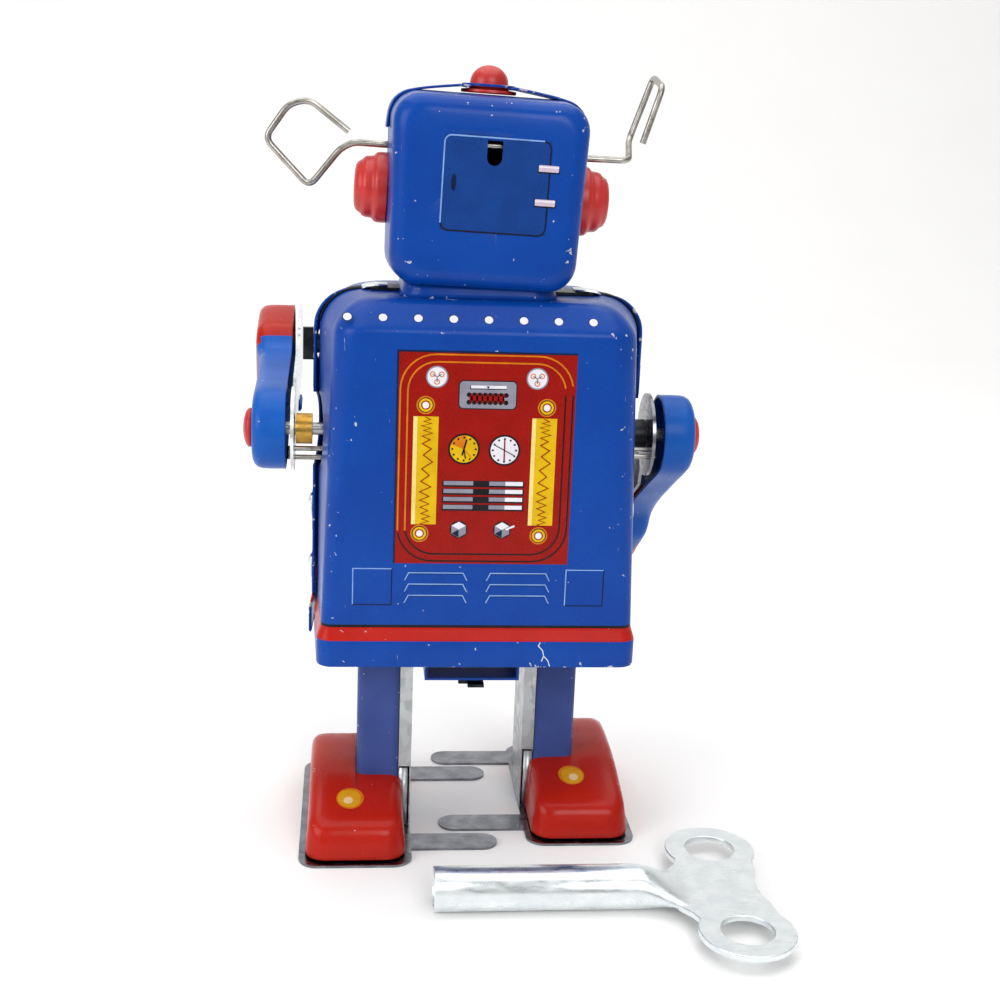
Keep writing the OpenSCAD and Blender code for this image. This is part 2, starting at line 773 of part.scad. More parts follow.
module left_arm_pivot() { color(bare_steel) arm_pivot(); }
module right_arm_pivot() { color(bare_steel) on_side(-1) arm_pivot(); }
module left_bush() { color(brass) bush(arm_plate_x); }
module right_bush() { color(brass) on_side(-1) bush(arm_plate_x - right_plate_in); }
module left_arm_shell() { color(tin_blue) arm_side(1, left_arm_angle) arm_shell(0); }
module left_arm_plate() { color(bare_steel) arm_side(1, left_arm_angle) arm_plate(0, arm_plate_x); }
module left_arm_wire() { color(bare_steel) arm_side(1, left_arm_angle) arm_wire(arm_plate_x); }
module left_arm_cap() { color(tin_red) arm_side(1, left_arm_angle) arm_cap(); }
module right_arm_shell() { color(tin_blue) arm_side(-1, right_arm_angle) arm_shell(right_arm_bend); }
module right_arm_plate() {
    color(bare_steel) arm_side(-1, right_arm_angle) arm_plate(right_arm_bend, arm_plate_x - right_plate_in);
}
module right_arm_wire() {
    color(bare_steel) arm_side(-1, right_arm_angle) arm_wire(arm_plate_x - right_plate_in);
}
module right_arm_cap() { color(tin_red) arm_side(-1, right_arm_angle) arm_cap(); }

// ---------- key, lying flat on the floor behind the robot ----------

key_y = 34;
key_tip_x = 6.8;
key_t = 0.9;
lobe_r = 7;

module winding_key() {
    r = key_tube_d / 2;
    bow_x = key_tip_x - key_len + lobe_r;
    tube_len = key_len - 2 * lobe_r - 4;
    neck_x = key_tip_x - tube_len;
    color(bare_steel) {
        difference() {
            bar_x(neck_x, tube_len, r, [key_y, r]);
            bar_x(neck_x - cut, tube_len + 2 * cut, r - key_t, [key_y, r]);
        }
        translate([0, 0, r - key_t / 2]) linear_extrude(key_t) difference() {
            union() {
                for (side = [-1, 1]) translate([bow_x, key_y + side * key_hole_gap / 2]) circle(lobe_r);
                translate([bow_x - 4.4, key_y - key_hole_gap / 2]) square([9.4, key_hole_gap]);
                polygon([[bow_x + 3, key_y - 9], [neck_x, key_y - r], [neck_x, key_y + r], [bow_x + 3, key_y + 9]]);
            }
            for (side = [-1, 1]) translate([bow_x, key_y + side * key_hole_gap / 2]) circle(3.7);
        }
    }
}

rear_cover();
front_cover();
neck_plate();
head_rear_shell();
head_front_shell();
head_strap();
head_lamp();
left_ear();
right_ear();
aerial_wire();
left_motor_plate();
right_motor_plate();
motor_pillars();
under_tray();
tray_hook();
leg_guide_pins();
mainspring();
great_wheel();
winding_arbor();
ratchet_wheel();
click();
click_spring();
first_arbor();
first_wheel();
second_arbor();
second_wheel();
crank_shaft();
crank_pinion();
crank_wheel();
left_crank();
right_crank();
governor_pinion();
governor_flywheel();
left_leg_plate();
left_leg_cover();
left_shoe();
left_sole();
right_leg_plate();
right_leg_cover();
right_shoe();
right_sole();
left_arm_pivot();
right_arm_pivot();
left_bush();
right_bush();
left_arm_shell();
left_arm_plate();
left_arm_wire();
left_arm_cap();
right_arm_shell();
right_arm_plate();
right_arm_wire();
right_arm_cap();
winding_key();
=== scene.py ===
"""Wind-up tin robot: printed covers, wire aerials, shoes, arms and key over the clockwork frame."""
import json
import math
import bmesh
import bpy
from bpy.props import FloatProperty, FloatVectorProperty, IntProperty, PointerProperty
from mathutils import Matrix, Vector


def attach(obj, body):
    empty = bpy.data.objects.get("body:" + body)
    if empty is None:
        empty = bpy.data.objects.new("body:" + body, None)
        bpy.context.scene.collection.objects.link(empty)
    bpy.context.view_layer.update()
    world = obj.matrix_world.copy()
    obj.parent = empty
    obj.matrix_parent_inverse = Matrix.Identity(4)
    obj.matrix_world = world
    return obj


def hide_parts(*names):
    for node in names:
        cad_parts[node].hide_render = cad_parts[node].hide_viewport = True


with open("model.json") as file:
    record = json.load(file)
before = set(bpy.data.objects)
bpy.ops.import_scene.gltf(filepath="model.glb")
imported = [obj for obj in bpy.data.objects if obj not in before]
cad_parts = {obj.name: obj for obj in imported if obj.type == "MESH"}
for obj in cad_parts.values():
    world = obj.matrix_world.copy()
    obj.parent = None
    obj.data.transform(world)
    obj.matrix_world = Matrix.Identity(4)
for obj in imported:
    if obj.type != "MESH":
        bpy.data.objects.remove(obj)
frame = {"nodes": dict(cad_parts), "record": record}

bl_info = {
    "name": "Tin Walking Robot",
    "version": (1, 0, 0),
    "blender": (4, 5, 0),
    "location": "3D View > Sidebar > Tin Robot",
    "description": "Makes the printed tin pieces of a wind-up robot over its clockwork frame",
    "category": "Add Mesh",
}

# Sizes are in millimetres: z from the floor, y from the middle of the body, back positive
MM = 0.001
SEAM_Y = 1.0
BODY_TOP = 86.6
CORNER_R = 6.0
BACK_Y = 16.0
HEAD_FOOT = 87.9
HEAD_TOP = 115.8
HEAD_BACK_Y = 14.0
SHOULDER = (1.0, 64.6)
HALF_STRIDE = 3.2
# distance from the shoulder to the middle of the hand
HAND_REACH = 32.5
# how much nearer to the body the right arm sits than the left one
RIGHT_ARM_IN = 0.7
# how far the left hand's pressed bowl stands out past its wrist
HAND_SWELL = 0.95


def linear(code):
    """Turns an sRGB hex colour into linear red, green, blue and alpha."""
    parts = [int(code[i:i + 2], 16) / 255 for i in (0, 2, 4)]
    return tuple(p / 12.92 if p <= 0.04045 else ((p + 0.055) / 1.055) ** 2.4 for p in parts) + (1.0,)


# ---------- meshes ----------


def new_object(name, mesh):
    piece = bpy.data.objects.new(name, mesh)
    bpy.context.scene.collection.objects.link(piece)
    return piece


def shade(bm, angle):
    """Smooth faces with sharp edges where the sheet turns by more than angle, in degrees."""
    for face in bm.faces:
        face.smooth = True
    for edge in bm.edges:
        if len(edge.link_faces) == 2:
            edge.smooth = edge.calc_face_angle(0.0) < math.radians(angle)


def mark_wear(mesh, bm):
    """Writes how exposed each point is: 1 on a sharp bend or a raw edge, 0 on flat tin."""
    wear = mesh.attributes.new("wear", "FLOAT", "POINT")
    bm.verts.ensure_lookup_table()
    values = []
    for vert in bm.verts:
        bend = 0.0
        for edge in vert.link_edges:
            turn = edge.calc_face_angle(0.0) if len(edge.link_faces) == 2 else 0.5
            bend = max(bend, turn)
        values.append(min(1.0, bend / 0.5))
    wear.data.foreach_set("value", values)


def mesh_piece(name, points, faces, finishes, marks=None, hub=None, facing=None, angle=40, merge=True):
    """Makes a piece from points in millimetres, with its faces outwards.

    marks gives a finish for each face, hub a point inside the piece, and facing a direction
    for flat pieces.
    """
    mesh = bpy.data.meshes.new(name)
    mesh.from_pydata([tuple(c * MM for c in p) for p in points], [], faces)
    for finish in finishes:
        mesh.materials.append(bpy.data.materials[finish])
    for index, mark in enumerate(marks or []):
        mesh.polygons[index].material_index = mark
    bm = bmesh.new()
    bm.from_mesh(mesh)
    if merge:
        bmesh.ops.remove_doubles(bm, verts=bm.verts, dist=2e-6)
    if facing is None:
        bmesh.ops.recalc_face_normals(bm, faces=bm.faces)
        middle = Vector(hub) * MM if hub else sum((v.co for v in bm.verts), Vector()) / len(bm.verts)
        lean = sum(f.calc_area() * f.normal.dot(f.calc_center_median() - middle) for f in bm.faces)
        if lean < 0:
            bmesh.ops.reverse_faces(bm, faces=bm.faces)
    else:
        bm.normal_update()
        away = [f for f in bm.faces if f.normal.dot(Vector(facing)) < 0]
        bmesh.ops.reverse_faces(bm, faces=away)
    bm.normal_update()
    shade(bm, angle)
    bm.to_mesh(mesh)
    mark_wear(mesh, bm)
    bm.free()
    return new_object(name, mesh)


def apply_modifiers(piece):
    """Turns the evaluated piece into a plain mesh and drops its modifiers."""
    result = bpy.data.meshes.new_from_object(piece.evaluated_get(bpy.context.evaluated_depsgraph_get()))
    piece.modifiers.clear()
    piece.data = result
    return piece


def thicken(piece, thickness):
    """Gives a shell its sheet thickness, inwards from the printed face."""
    solid = piece.modifiers.new("Sheet", "SOLIDIFY")
    solid.thickness = thickness * MM
    solid.offset = -1
    return piece


def cut_away(piece, cutters):
    """Cuts the shapes out of a piece and removes them."""
    for cutter in cutters:
        opening = piece.modifiers.new("Opening", "BOOLEAN")
        opening.operation = "DIFFERENCE"
        opening.solver = "EXACT"
        opening.object = cutter
    apply_modifiers(piece)
    for cutter in cutters:
        bpy.data.objects.remove(cutter)
    return piece


def bar_points(radius, start, end, count=48):
    """A closed bar along X for cutting, in millimetres: start and end are (x, y, z)."""
    points = []
    for x, y, z in (start, end):
        for i in range(count):
            turn = 2 * math.pi * i / count
            points.append((x, y + radius * math.cos(turn), z + radius * math.sin(turn)))
    faces = [tuple(range(count)), tuple(range(count, 2 * count))]
    faces += [(i, (i + 1) % count, count + (i + 1) % count, count + i) for i in range(count)]
    return points, faces


def grid_faces(rows, columns, closed):
    """Faces between rows of points, round a loop if closed."""
    last = columns if closed else columns - 1
    return [
        (r * columns + c, r * columns + (c + 1) % columns,
         (r + 1) * columns + (c + 1) % columns, (r + 1) * columns + c)
        for r in range(rows - 1) for c in range(last)
    ]


def arc(centre, radius, first, last, steps):
    """Points on an arc, angles in degrees."""
    turns = [math.radians(first + (last - first) * i / steps) for i in range(steps + 1)]
    return [(centre[0] + radius * math.cos(t), centre[1] + radius * math.sin(t)) for t in turns]


def rounded_loop(left, right, low, high, radius, steps=8, side=6):
    """Closed outline of a rounded rectangle with points along its straight sides."""
    corners = [((right - radius, high - radius), 0), ((left + radius, high - radius), 90),
               ((left + radius, low + radius), 180), ((right - radius, low + radius), 270)]
    loop = []
    for index, (centre, first) in enumerate(corners):
        bend = arc(centre, radius, first, first + 90, steps)
        following = corners[(index + 1) % 4]
        target = arc(following[0], radius, following[1], following[1], 1)[0]
        loop += bend
        loop += [tuple(bend[-1][k] + (target[k] - bend[-1][k]) * s / side for k in (0, 1))
                 for s in range(1, side)]
    return loop


def rounded_path(points, radius, steps=6):
    """A path whose corners are bent to a radius."""
    places = [Vector(p) for p in points]
    path = [places[0]]
    for before, corner, after in zip(places, places[1:], places[2:]):
        reach = min(radius, 0.45 * (before - corner).length, 0.45 * (after - corner).length)
        first = corner + (before - corner).normalized() * reach
        last = corner + (after - corner).normalized() * reach
        for i in range(steps + 1):
            t = i / steps
            path.append(first * (1 - t) ** 2 + corner * (2 * t * (1 - t)) + last * t ** 2)
    return path + [places[-1]]


def sweep(path, section):
    """Sweeps a closed section along a path without twist; returns points and faces."""
    along = [(b - a).normalized() for a, b in zip(path, path[1:])]
    along = [along[0]] + [(a + b).normalized() for a, b in zip(along, along[1:])] + [along[-1]]
    side = along[0].orthogonal().normalized()
    points = []
    for place, ahead in zip(path, along):
        side = (side - ahead * side.dot(ahead)).normalized()
        up = ahead.cross(side)
        points += [tuple(place + side * u + up * v) for u, v in section]
    count = len(section)
    faces = grid_faces(len(path), count, True)
    faces += [tuple(range(count)), tuple(range(len(points) - count, len(points)))]
    return points, faces


def round_section(radius, count=20):
    return [(radius * math.cos(2 * math.pi * i / count), radius * math.sin(2 * math.pi * i / count))
            for i in range(count)]


def lathe(profile, place, count=64):
    """Turns a profile of (radius, distance) about an axis; place puts (u, v, distance) in space."""
    points, rows = [], []
    for radius, distance in profile:
        rows.append(len(points))
        for i in range(count):
            turn = 2 * math.pi * i / count
            points.append(place(radius * math.cos(turn), radius * math.sin(turn), distance))
    faces = grid_faces(len(profile), count, True)
    faces += [tuple(range(count)), tuple(range(rows[-1], rows[-1] + count))]
    return points, faces


def lean_head(point):
    """Leans a point of the head about the middle of its top."""
    angle = -bpy.context.scene.tin_robot.head_lean
    x, z = point[0], point[2] - HEAD_TOP
    return (x * math.cos(angle) + z * math.sin(angle), point[1],
            HEAD_TOP - x * math.sin(angle) + z * math.cos(angle))


# ---------- finishes ----------


def add(tree, kind, inputs=None, **settings):
    """Adds a node with its settings; inputs maps a socket to a value or another node's output."""
    made = tree.nodes.new(kind)
    for name, value in settings.items():
        setattr(made, name, value)
    for socket, value in (inputs or {}).items():
        if isinstance(value, bpy.types.NodeSocket):
            tree.links.new(value, made.inputs[socket])
        else:
            made.inputs[socket].default_value = value
    return made


def start_finish(name):
    """A material with an empty tree, its shader and its place coordinates."""
    material = bpy.data.materials.new(name)
    material.use_nodes = True
    tree = material.node_tree
    tree.nodes.clear()
    shader = add(tree, "ShaderNodeBsdfPrincipled")
    add(tree, "ShaderNodeOutputMaterial", {"Surface": shader.outputs[0]})
    place = add(tree, "ShaderNodeTexCoord").outputs["Object"]
    return tree, shader, place


def grain(tree, place, size, stretch=(1, 1, 1), detail=3.0):
    """Noise whose blobs are size millimetres across, stretched along the axes."""
    turned = add(tree, "ShaderNodeMapping", {"Vector": place, "Scale": tuple(1 / s for s in stretch)})
    noise = add(tree, "ShaderNodeTexNoise", {
        "Vector": turned.outputs[0], "Scale": 1000 / size, "Detail": detail, "Roughness": 0.55})
    return noise.outputs["Fac"]


def between(tree, value, low, high, out_low=0.0, out_high=1.0):
    """Maps a value from one range to another, clamped."""
    return add(tree, "ShaderNodeMapRange", {
        "Value": value, "From Min": low, "From Max": high,
        "To Min": out_low, "To Max": out_high}).outputs[0]


def printed_tin(name, colour, deep, worn=1.0, gloss=0.3):
    """Lithographed tinplate: even ink under varnish, a soft gloss, tin bright in its chips."""
    tree, shader, place = start_finish(name)
    cloud = grain(tree, place, 9.0)
    speck = grain(tree, place, 0.35, detail=1.0)
    mixed = add(tree, "ShaderNodeMixRGB", {
        "Fac": between(tree, cloud, 0.35, 0.65), "Color1": colour, "Color2": deep})
    dusted = add(tree, "ShaderNodeMixRGB", {
        "Fac": between(tree, speck, 0.3, 0.75, 0.0, 0.006), "Color1": mixed.outputs[0],
        "Color2": linear("C9D4E4")})
    # chips sit on the bends, where the wear attribute is high
    wear = add(tree, "ShaderNodeAttribute", attribute_name="wear").outputs["Fac"]
    chip_size = grain(tree, place, 1.1, detail=5.0)
    rubbed = add(tree, "ShaderNodeMath", {0: wear, 1: 0.115 * worn, 2: chip_size},
                 operation="MULTIPLY_ADD")
    chips = between(tree, rubbed.outputs[0], 0.735, 0.745)
    scratch_size = grain(tree, place, 0.7, stretch=(0.35, 1.0, 5.0), detail=2.0)
    scratches = between(tree, scratch_size, 0.775 - 0.01 * worn, 0.80, 0.0, 0.7)
    bare = add(tree, "ShaderNodeMath", {0: chips, 1: scratches}, operation="MAXIMUM").outputs[0]
    coated = add(tree, "ShaderNodeMixRGB", {
        "Fac": bare, "Color1": dusted.outputs[0], "Color2": linear("B9BDC2")})
    tree.links.new(coated.outputs[0], shader.inputs["Base Color"])
    tree.links.new(between(tree, cloud, 0.3, 0.7, gloss - 0.04, gloss + 0.06), shader.inputs["Roughness"])
    shader.inputs["Specular IOR Level"].default_value = 0.14
    shader.inputs["Coat Weight"].default_value = 0.05
    shader.inputs["Coat Roughness"].default_value = 0.14
    peel = add(tree, "ShaderNodeMath", {0: bare, 1: -0.6, 2: speck}, operation="MULTIPLY_ADD")
    bump = add(tree, "ShaderNodeBump", {"Height": peel.outputs[0], "Strength": 0.10, "Distance": 0.00006})
    tree.links.new(bump.outputs[0], shader.inputs["Normal"])
    return name


def printing_ink(name, colour, deep, roughness=0.3):
    """A spot of printing ink on tin: flat, slightly uneven, with a varnish gloss."""
    tree, shader, place = start_finish(name)
    dots = grain(tree, place, 0.3, detail=1.0)
    cloud = grain(tree, place, 3.0)
    mixed = add(tree, "ShaderNodeMixRGB", {
        "Fac": between(tree, cloud, 0.35, 0.7), "Color1": colour, "Color2": deep})
    tree.links.new(mixed.outputs[0], shader.inputs["Base Color"])
    tree.links.new(between(tree, dots, 0.3, 0.7, roughness - 0.05, roughness + 0.05),
                   shader.inputs["Roughness"])
    bump = add(tree, "ShaderNodeBump", {"Height": dots, "Strength": 0.06, "Distance": 0.00004})
    tree.links.new(bump.outputs[0], shader.inputs["Normal"])
    shader.inputs["Specular IOR Level"].default_value = 0.14
    shader.inputs["Coat Weight"].default_value = 0.05
    shader.inputs["Coat Roughness"].default_value = 0.14
    return name


def worked_metal(name, colour, deep, size, stretch, roughness, bump_depth=0.00004, spots=0.0):
    """Bare metal sheet or wire: a directional grain, cloudy sheen and dull spots."""
    tree, shader, place = start_finish(name)
    lines = grain(tree, place, size, stretch=stretch, detail=4.0)
    cloud = grain(tree, place, 2.6, detail=2.0)
    mixed = add(tree, "ShaderNodeMixRGB", {
        "Fac": between(tree, cloud, 0.35, 0.65), "Color1": colour, "Color2": deep})
    stain_size = grain(tree, place, 0.8, detail=5.0)
    stains = between(tree, stain_size, 0.62, 0.72, 0.0, spots)
    stained = add(tree, "ShaderNodeMixRGB", {
        "Fac": stains, "Color1": mixed.outputs[0], "Color2": linear("4A4742")})
    tree.links.new(stained.outputs[0], shader.inputs["Base Color"])
    shader.inputs["Metallic"].default_value = 1.0
    rough = between(tree, lines, 0.3, 0.7, roughness - 0.08, roughness + 0.12)
    tree.links.new(rough, shader.inputs["Roughness"])
    bump = add(tree, "ShaderNodeBump", {"Height": lines, "Strength": 0.25, "Distance": bump_depth})
    tree.links.new(bump.outputs[0], shader.inputs["Normal"])
    return name


def zinc_sheet(name):
    """Galvanised sheet: pale grey zinc with a spangle of dull crystals a few millimetres wide."""
    tree, shader, place = start_finish(name)
    crystals = add(tree, "ShaderNodeTexVoronoi", {"Vector": place, "Scale": 1000 / 1.6},
                   feature="F1").outputs["Color"]
    tone = add(tree, "ShaderNodeSeparateColor", {"Color": crystals}).outputs[0]
    fine = grain(tree, place, 0.5, stretch=(1, 1, 3), detail=4.0)
    mixed = add(tree, "ShaderNodeMixRGB", {
        "Fac": between(tree, tone, 0.0, 1.0, 0.0, 0.8), "Color1": linear("C3C6C8"),
        "Color2": linear("A4A8AA")})
    marked = add(tree, "ShaderNodeMixRGB", {
        "Fac": between(tree, fine, 0.60, 0.72, 0.0, 0.45), "Color1": mixed.outputs[0],
        "Color2": linear("6F7274")})
    tree.links.new(marked.outputs[0], shader.inputs["Base Color"])
    shader.inputs["Metallic"].default_value = 0.9
    tree.links.new(between(tree, tone, 0.0, 1.0, 0.30, 0.46), shader.inputs["Roughness"])
    bump = add(tree, "ShaderNodeBump", {"Height": fine, "Strength": 0.2, "Distance": 0.00004})
    tree.links.new(bump.outputs[0], shader.inputs["Normal"])
    return name


def moulded_plastic(name, colour, deep):
    """Moulded polystyrene: a waxy red with a broad soft gloss and light just under the skin."""
    tree, shader, place = start_finish(name)
    cloud = grain(tree, place, 4.0)
    fine = grain(tree, place, 0.4, detail=2.0)
    mixed = add(tree, "ShaderNodeMixRGB", {
        "Fac": between(tree, cloud, 0.35, 0.65), "Color1": colour, "Color2": deep})
    tree.links.new(mixed.outputs[0], shader.inputs["Base Color"])
    tree.links.new(between(tree, fine, 0.3, 0.7, 0.30, 0.42), shader.inputs["Roughness"])
    shader.inputs["IOR"].default_value = 1.49
    shader.inputs["Subsurface Weight"].default_value = 0.12
    shader.inputs["Subsurface Radius"].default_value = (0.0012, 0.0003, 0.0002)
    shader.inputs["Subsurface Scale"].default_value = 1.0
    bump = add(tree, "ShaderNodeBump", {"Height": fine, "Strength": 0.08, "Distance": 0.00005})
    tree.links.new(bump.outputs[0], shader.inputs["Normal"])
    return name


BLUE = "Blue lithographed tinplate"
RED = "Red lithographed tinplate"
ARM_BLUE = "Light blue lithographed tinplate"
LEG_BLUE = "Violet blue lithographed tinplate"
SHOE_RED = "Red lacquered tinplate"
HATCH_BLUE = "Grey blue printing ink"
PANEL_RED = "Signal red printing ink"
BLACK = "Black printing ink"
YELLOW = "Yellow printing ink"
ORANGE = "Orange printing ink"
WHITE = "White printing ink"
GREY = "Grey printing ink"
PALE = "Pale blue printing ink"
YELLOW_PALE = "Pale yellow printing ink"
PINK = "Pink grey printing ink"
AMBER = "Amber printing ink"
SAND = "Sand printing ink"
DARK_BLUE = "Dark blue printing ink"
ZINC = "Galvanised sheet steel"
WIRE = "Drawn steel wire"
NICKEL = "Nickel plated steel"
DARK = "Blackened spring steel and painted shade"
ROLLED_AND_SHADED = "Rolled sheet steel and painted shade"
BRASS = "Turned brass"
STEEL = "Cut pinion steel"
PLASTIC = "Red moulded plastic"
INSIDE_DARK = "Dark inside lacquer"

SLOT_FINISH = {"tin_blue": BLUE, "tin_red": SHOE_RED, "bare_steel": ZINC, "dark_steel": DARK,
               "brass": BRASS, "plastic_red": PLASTIC}
NODE_FINISH = {"aerial_wire": WIRE, "left_arm_wire": WIRE, "right_arm_wire": WIRE,
               "left_arm_pivot": STEEL, "right_arm_pivot": STEEL, "first_arbor": STEEL,
               "second_arbor": STEEL, "crank_shaft": STEEL, "crank_pinion": STEEL,
               "governor_pinion": STEEL, "ratchet_wheel": STEEL, "click": STEEL,
               # The right arm plate takes the darker rolled steel where the left one has nickel: painted
               # shade, as its face sits in shadow.
               "left_arm_plate": NICKEL, "right_arm_plate": ROLLED_AND_SHADED, "click_spring": WIRE,
               # The right bush is brass; its blackened steel finish is painted shade, as it sits in shadow.
               "left_sole": ROLLED_AND_SHADED, "right_sole": ROLLED_AND_SHADED, "right_bush": DARK}

# colour of each ink and of its deeper patches
INKS = {
    HATCH_BLUE: ("123E87", "10387D"),
    PANEL_RED: ("970F05", "8D0C04"),
    BLACK: ("141216", "1D1B20"),
    YELLOW: ("DCB40A", "D0A406"),
    ORANGE: ("D27A12", "C2660C"),
    WHITE: ("E6E3EA", "DAD8E2"),
    GREY: ("8F8E9C", "83818F"),
    PALE: ("86A9DE", "7398D0"),
    DARK_BLUE: ("0E2244", "0A1A38"),
    YELLOW_PALE: ("EBD682", "E2CB6C"),
    PINK: ("CDB9CC", "C2ADC2"),
    AMBER: ("D59A1C", "CA8C14"),
    SAND: ("E3C49A", "D9B888"),
}


def make_finishes(sizes):
    """Makes every finish that the pieces use."""
    blue, red = tuple(sizes.blue), tuple(sizes.red)
    printed_tin(BLUE, blue, linear("023C94"))
    printed_tin(RED, linear("B81B10"), linear("AC160C"))
    printed_tin(ARM_BLUE, linear("1059B2"), linear("0D50A6"), worn=0.6, gloss=0.34)
    printed_tin(LEG_BLUE, linear("3B4E8D"), linear("344582"), worn=0.5, gloss=0.45)
    printed_tin(SHOE_RED, red, linear("A4180A"), worn=0.5, gloss=0.24)
    for ink, (light, deep) in INKS.items():
        printing_ink(ink, linear(light), linear(deep))
    printing_ink(INSIDE_DARK, linear("16181C"), linear("101115"), roughness=0.6)
    zinc_sheet(ZINC)
    worked_metal(WIRE, linear("B5B1AB"), linear("94908A"), 0.5, (6, 1, 1), 0.30, spots=0.35)
    worked_metal(NICKEL, linear("EEF2F3"), linear("E2E8EA"), 0.8, (4, 1, 1), 0.30, 0.000004, 0.03)
    worked_metal(ROLLED_AND_SHADED, linear("8A8C92"), linear("707278"), 0.6, (4, 1, 1), 0.20, 0.00002, 0.3)
    worked_metal(DARK, linear("3A3A3E"), linear("26262A"), 0.5, (1, 1, 3), 0.38, spots=0.3)
    worked_metal(BRASS, linear("C9A04E"), linear("B68A3A"), 0.3, (4, 1, 1), 0.28, spots=0.3)
    worked_metal(STEEL, linear("BDBEC0"), linear("9FA1A4"), 0.3, (4, 1, 1), 0.3, spots=0.2)
    moulded_plastic(PLASTIC, linear("C62A24"), linear("B5201C"))


def ride(piece, body, slot, *nodes):
    """Rides a finished piece on its body, with the nodes that it stands for; slot is not used."""
    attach(piece, body)
    if nodes:
        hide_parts(*nodes)
    return piece


# ---------- body ----------


def cover_section(z):
    """Half width at the seam and at the back, y of the back, and corner radius, at a height."""
    back_half = 23.9 - (z - 36.4) * 0.03
    corner = 1.8 + 2.6 * min(1.0, max(0.0, (z - 38.0) / 44.0))
    arc_z = z - (BODY_TOP - CORNER_R)
    drop = 0.0 if arc_z <= 0 else CORNER_R - math.sqrt(max(0.0, CORNER_R ** 2 - arc_z ** 2))
    bends = [(82.0, 16.0), (82.4, 15.93), (82.8, 15.72), (86.0, 13.1), (86.35, 12.65), (86.6, 12.1)]
    back_y = BACK_Y if z < bends[0][0] else bends[-1][1]
    for (z0, y0), (z1, y1) in zip(bends, bends[1:]):
        if z0 <= z < z1:
            back_y = y0 + (y1 - y0) * (z - z0) / (z1 - z0)
    return 24.6 - drop, back_half - drop, back_y, corner


def cover_rows():
    """Rows of a cover from its rolled lower edge to its top: z, widths, back and radius."""
    rows = [(31.0, 24.8, 24.15, 16.4, 2.1), (31.12, 25.0, 24.4, 16.62, 2.3),
            (31.4, 25.1, 24.5, 16.7, 2.4), (33.2, 25.1, 24.5, 16.7, 2.4),
            (35.3, 25.1, 24.5, 16.7, 2.4), (35.55, 25.04, 24.43, 16.63, 2.4),
            (36.95, 24.68, 23.98, 16.08, 2.0), (37.25, 24.6, 23.88, 16.0, 1.8),
            (37.7, 24.6, 23.86, 16.0, 1.8)]
    heights = {40.0, 46.0, 52.0, 58.0, 64.0, 70.0, 76.0, 82.0, 82.4, 82.8, 86.0, 86.35}
    heights |= {80.6 + 6 * math.sin(math.radians(a)) for a in (0, 10, 28, 36, 44, 52, 60, 68, 84, 90)}
    rows += [(z,) + cover_section(z) for z in sorted(heights)]
    return rows


def cover_outline(mouth, back_half, back_y, corner):
    """U-shaped section of a cover from the seam round the back to the other seam."""
    near = (back_half, back_y - corner)
    side = [(mouth + (near[0] - mouth) * i / 8, SEAM_Y + 0.08 + (near[1] - SEAM_Y) * i / 8)
            for i in range(8)]
    half = side + arc((back_half - corner, back_y - corner), corner, 0, 90, 7)
    inner = back_half - corner
    half += [(inner * (1 - i / 8), back_y) for i in range(1, 9)]
    return half + [(-x, y) for x, y in reversed(half[:-1])]


def cover_mesh(name, side):
    """One body cover with its flared skirt; side is 1 behind the seam and -1 in front."""
    rows = cover_rows()
    points, marks = [], []
    wider = 0.0 if side > 0 else 0.9
    for z, mouth, back_half, back_y, corner in rows:
        for x, y in cover_outline(mouth + wider, back_half + wider, back_y, corner):
            points.append((x, SEAM_Y + side * (y - SEAM_Y), z))
    columns = len(points) // len(rows)
    faces = grid_faces(len(rows), columns, False)
    for row in rows[:-1]:
        red = 35.2 < row[0] < 37.2
        black = 37.2 < row[0] < 37.6
        marks += [1 if red else 2 if black else 0] * (columns - 1)
    faces.append(tuple(range(len(points) - columns, len(points))))
    marks.append(0)
    return mesh_piece(name, points, faces, [BLUE, RED, BLACK], marks, hub=(0, SEAM_Y, 60), angle=32)


def cover_openings(with_arbor):
    """Cutting bars for the shoulders and, in the front cover, the winding arbor."""
    cutters = []
    bars = [(5.8, -30, 30, SHOULDER)]
    if with_arbor:
        bars.append((2.4, 15, 30, (-2.0, 77.5)))
    for index, (radius, low, high, at) in enumerate(bars):
        points, faces = bar_points(radius, (low, *at), (high, *at))
        cutters.append(mesh_piece(f"cutter_{index}", points, faces, [INSIDE_DARK]))
    return cutters


# ---------- printing ----------


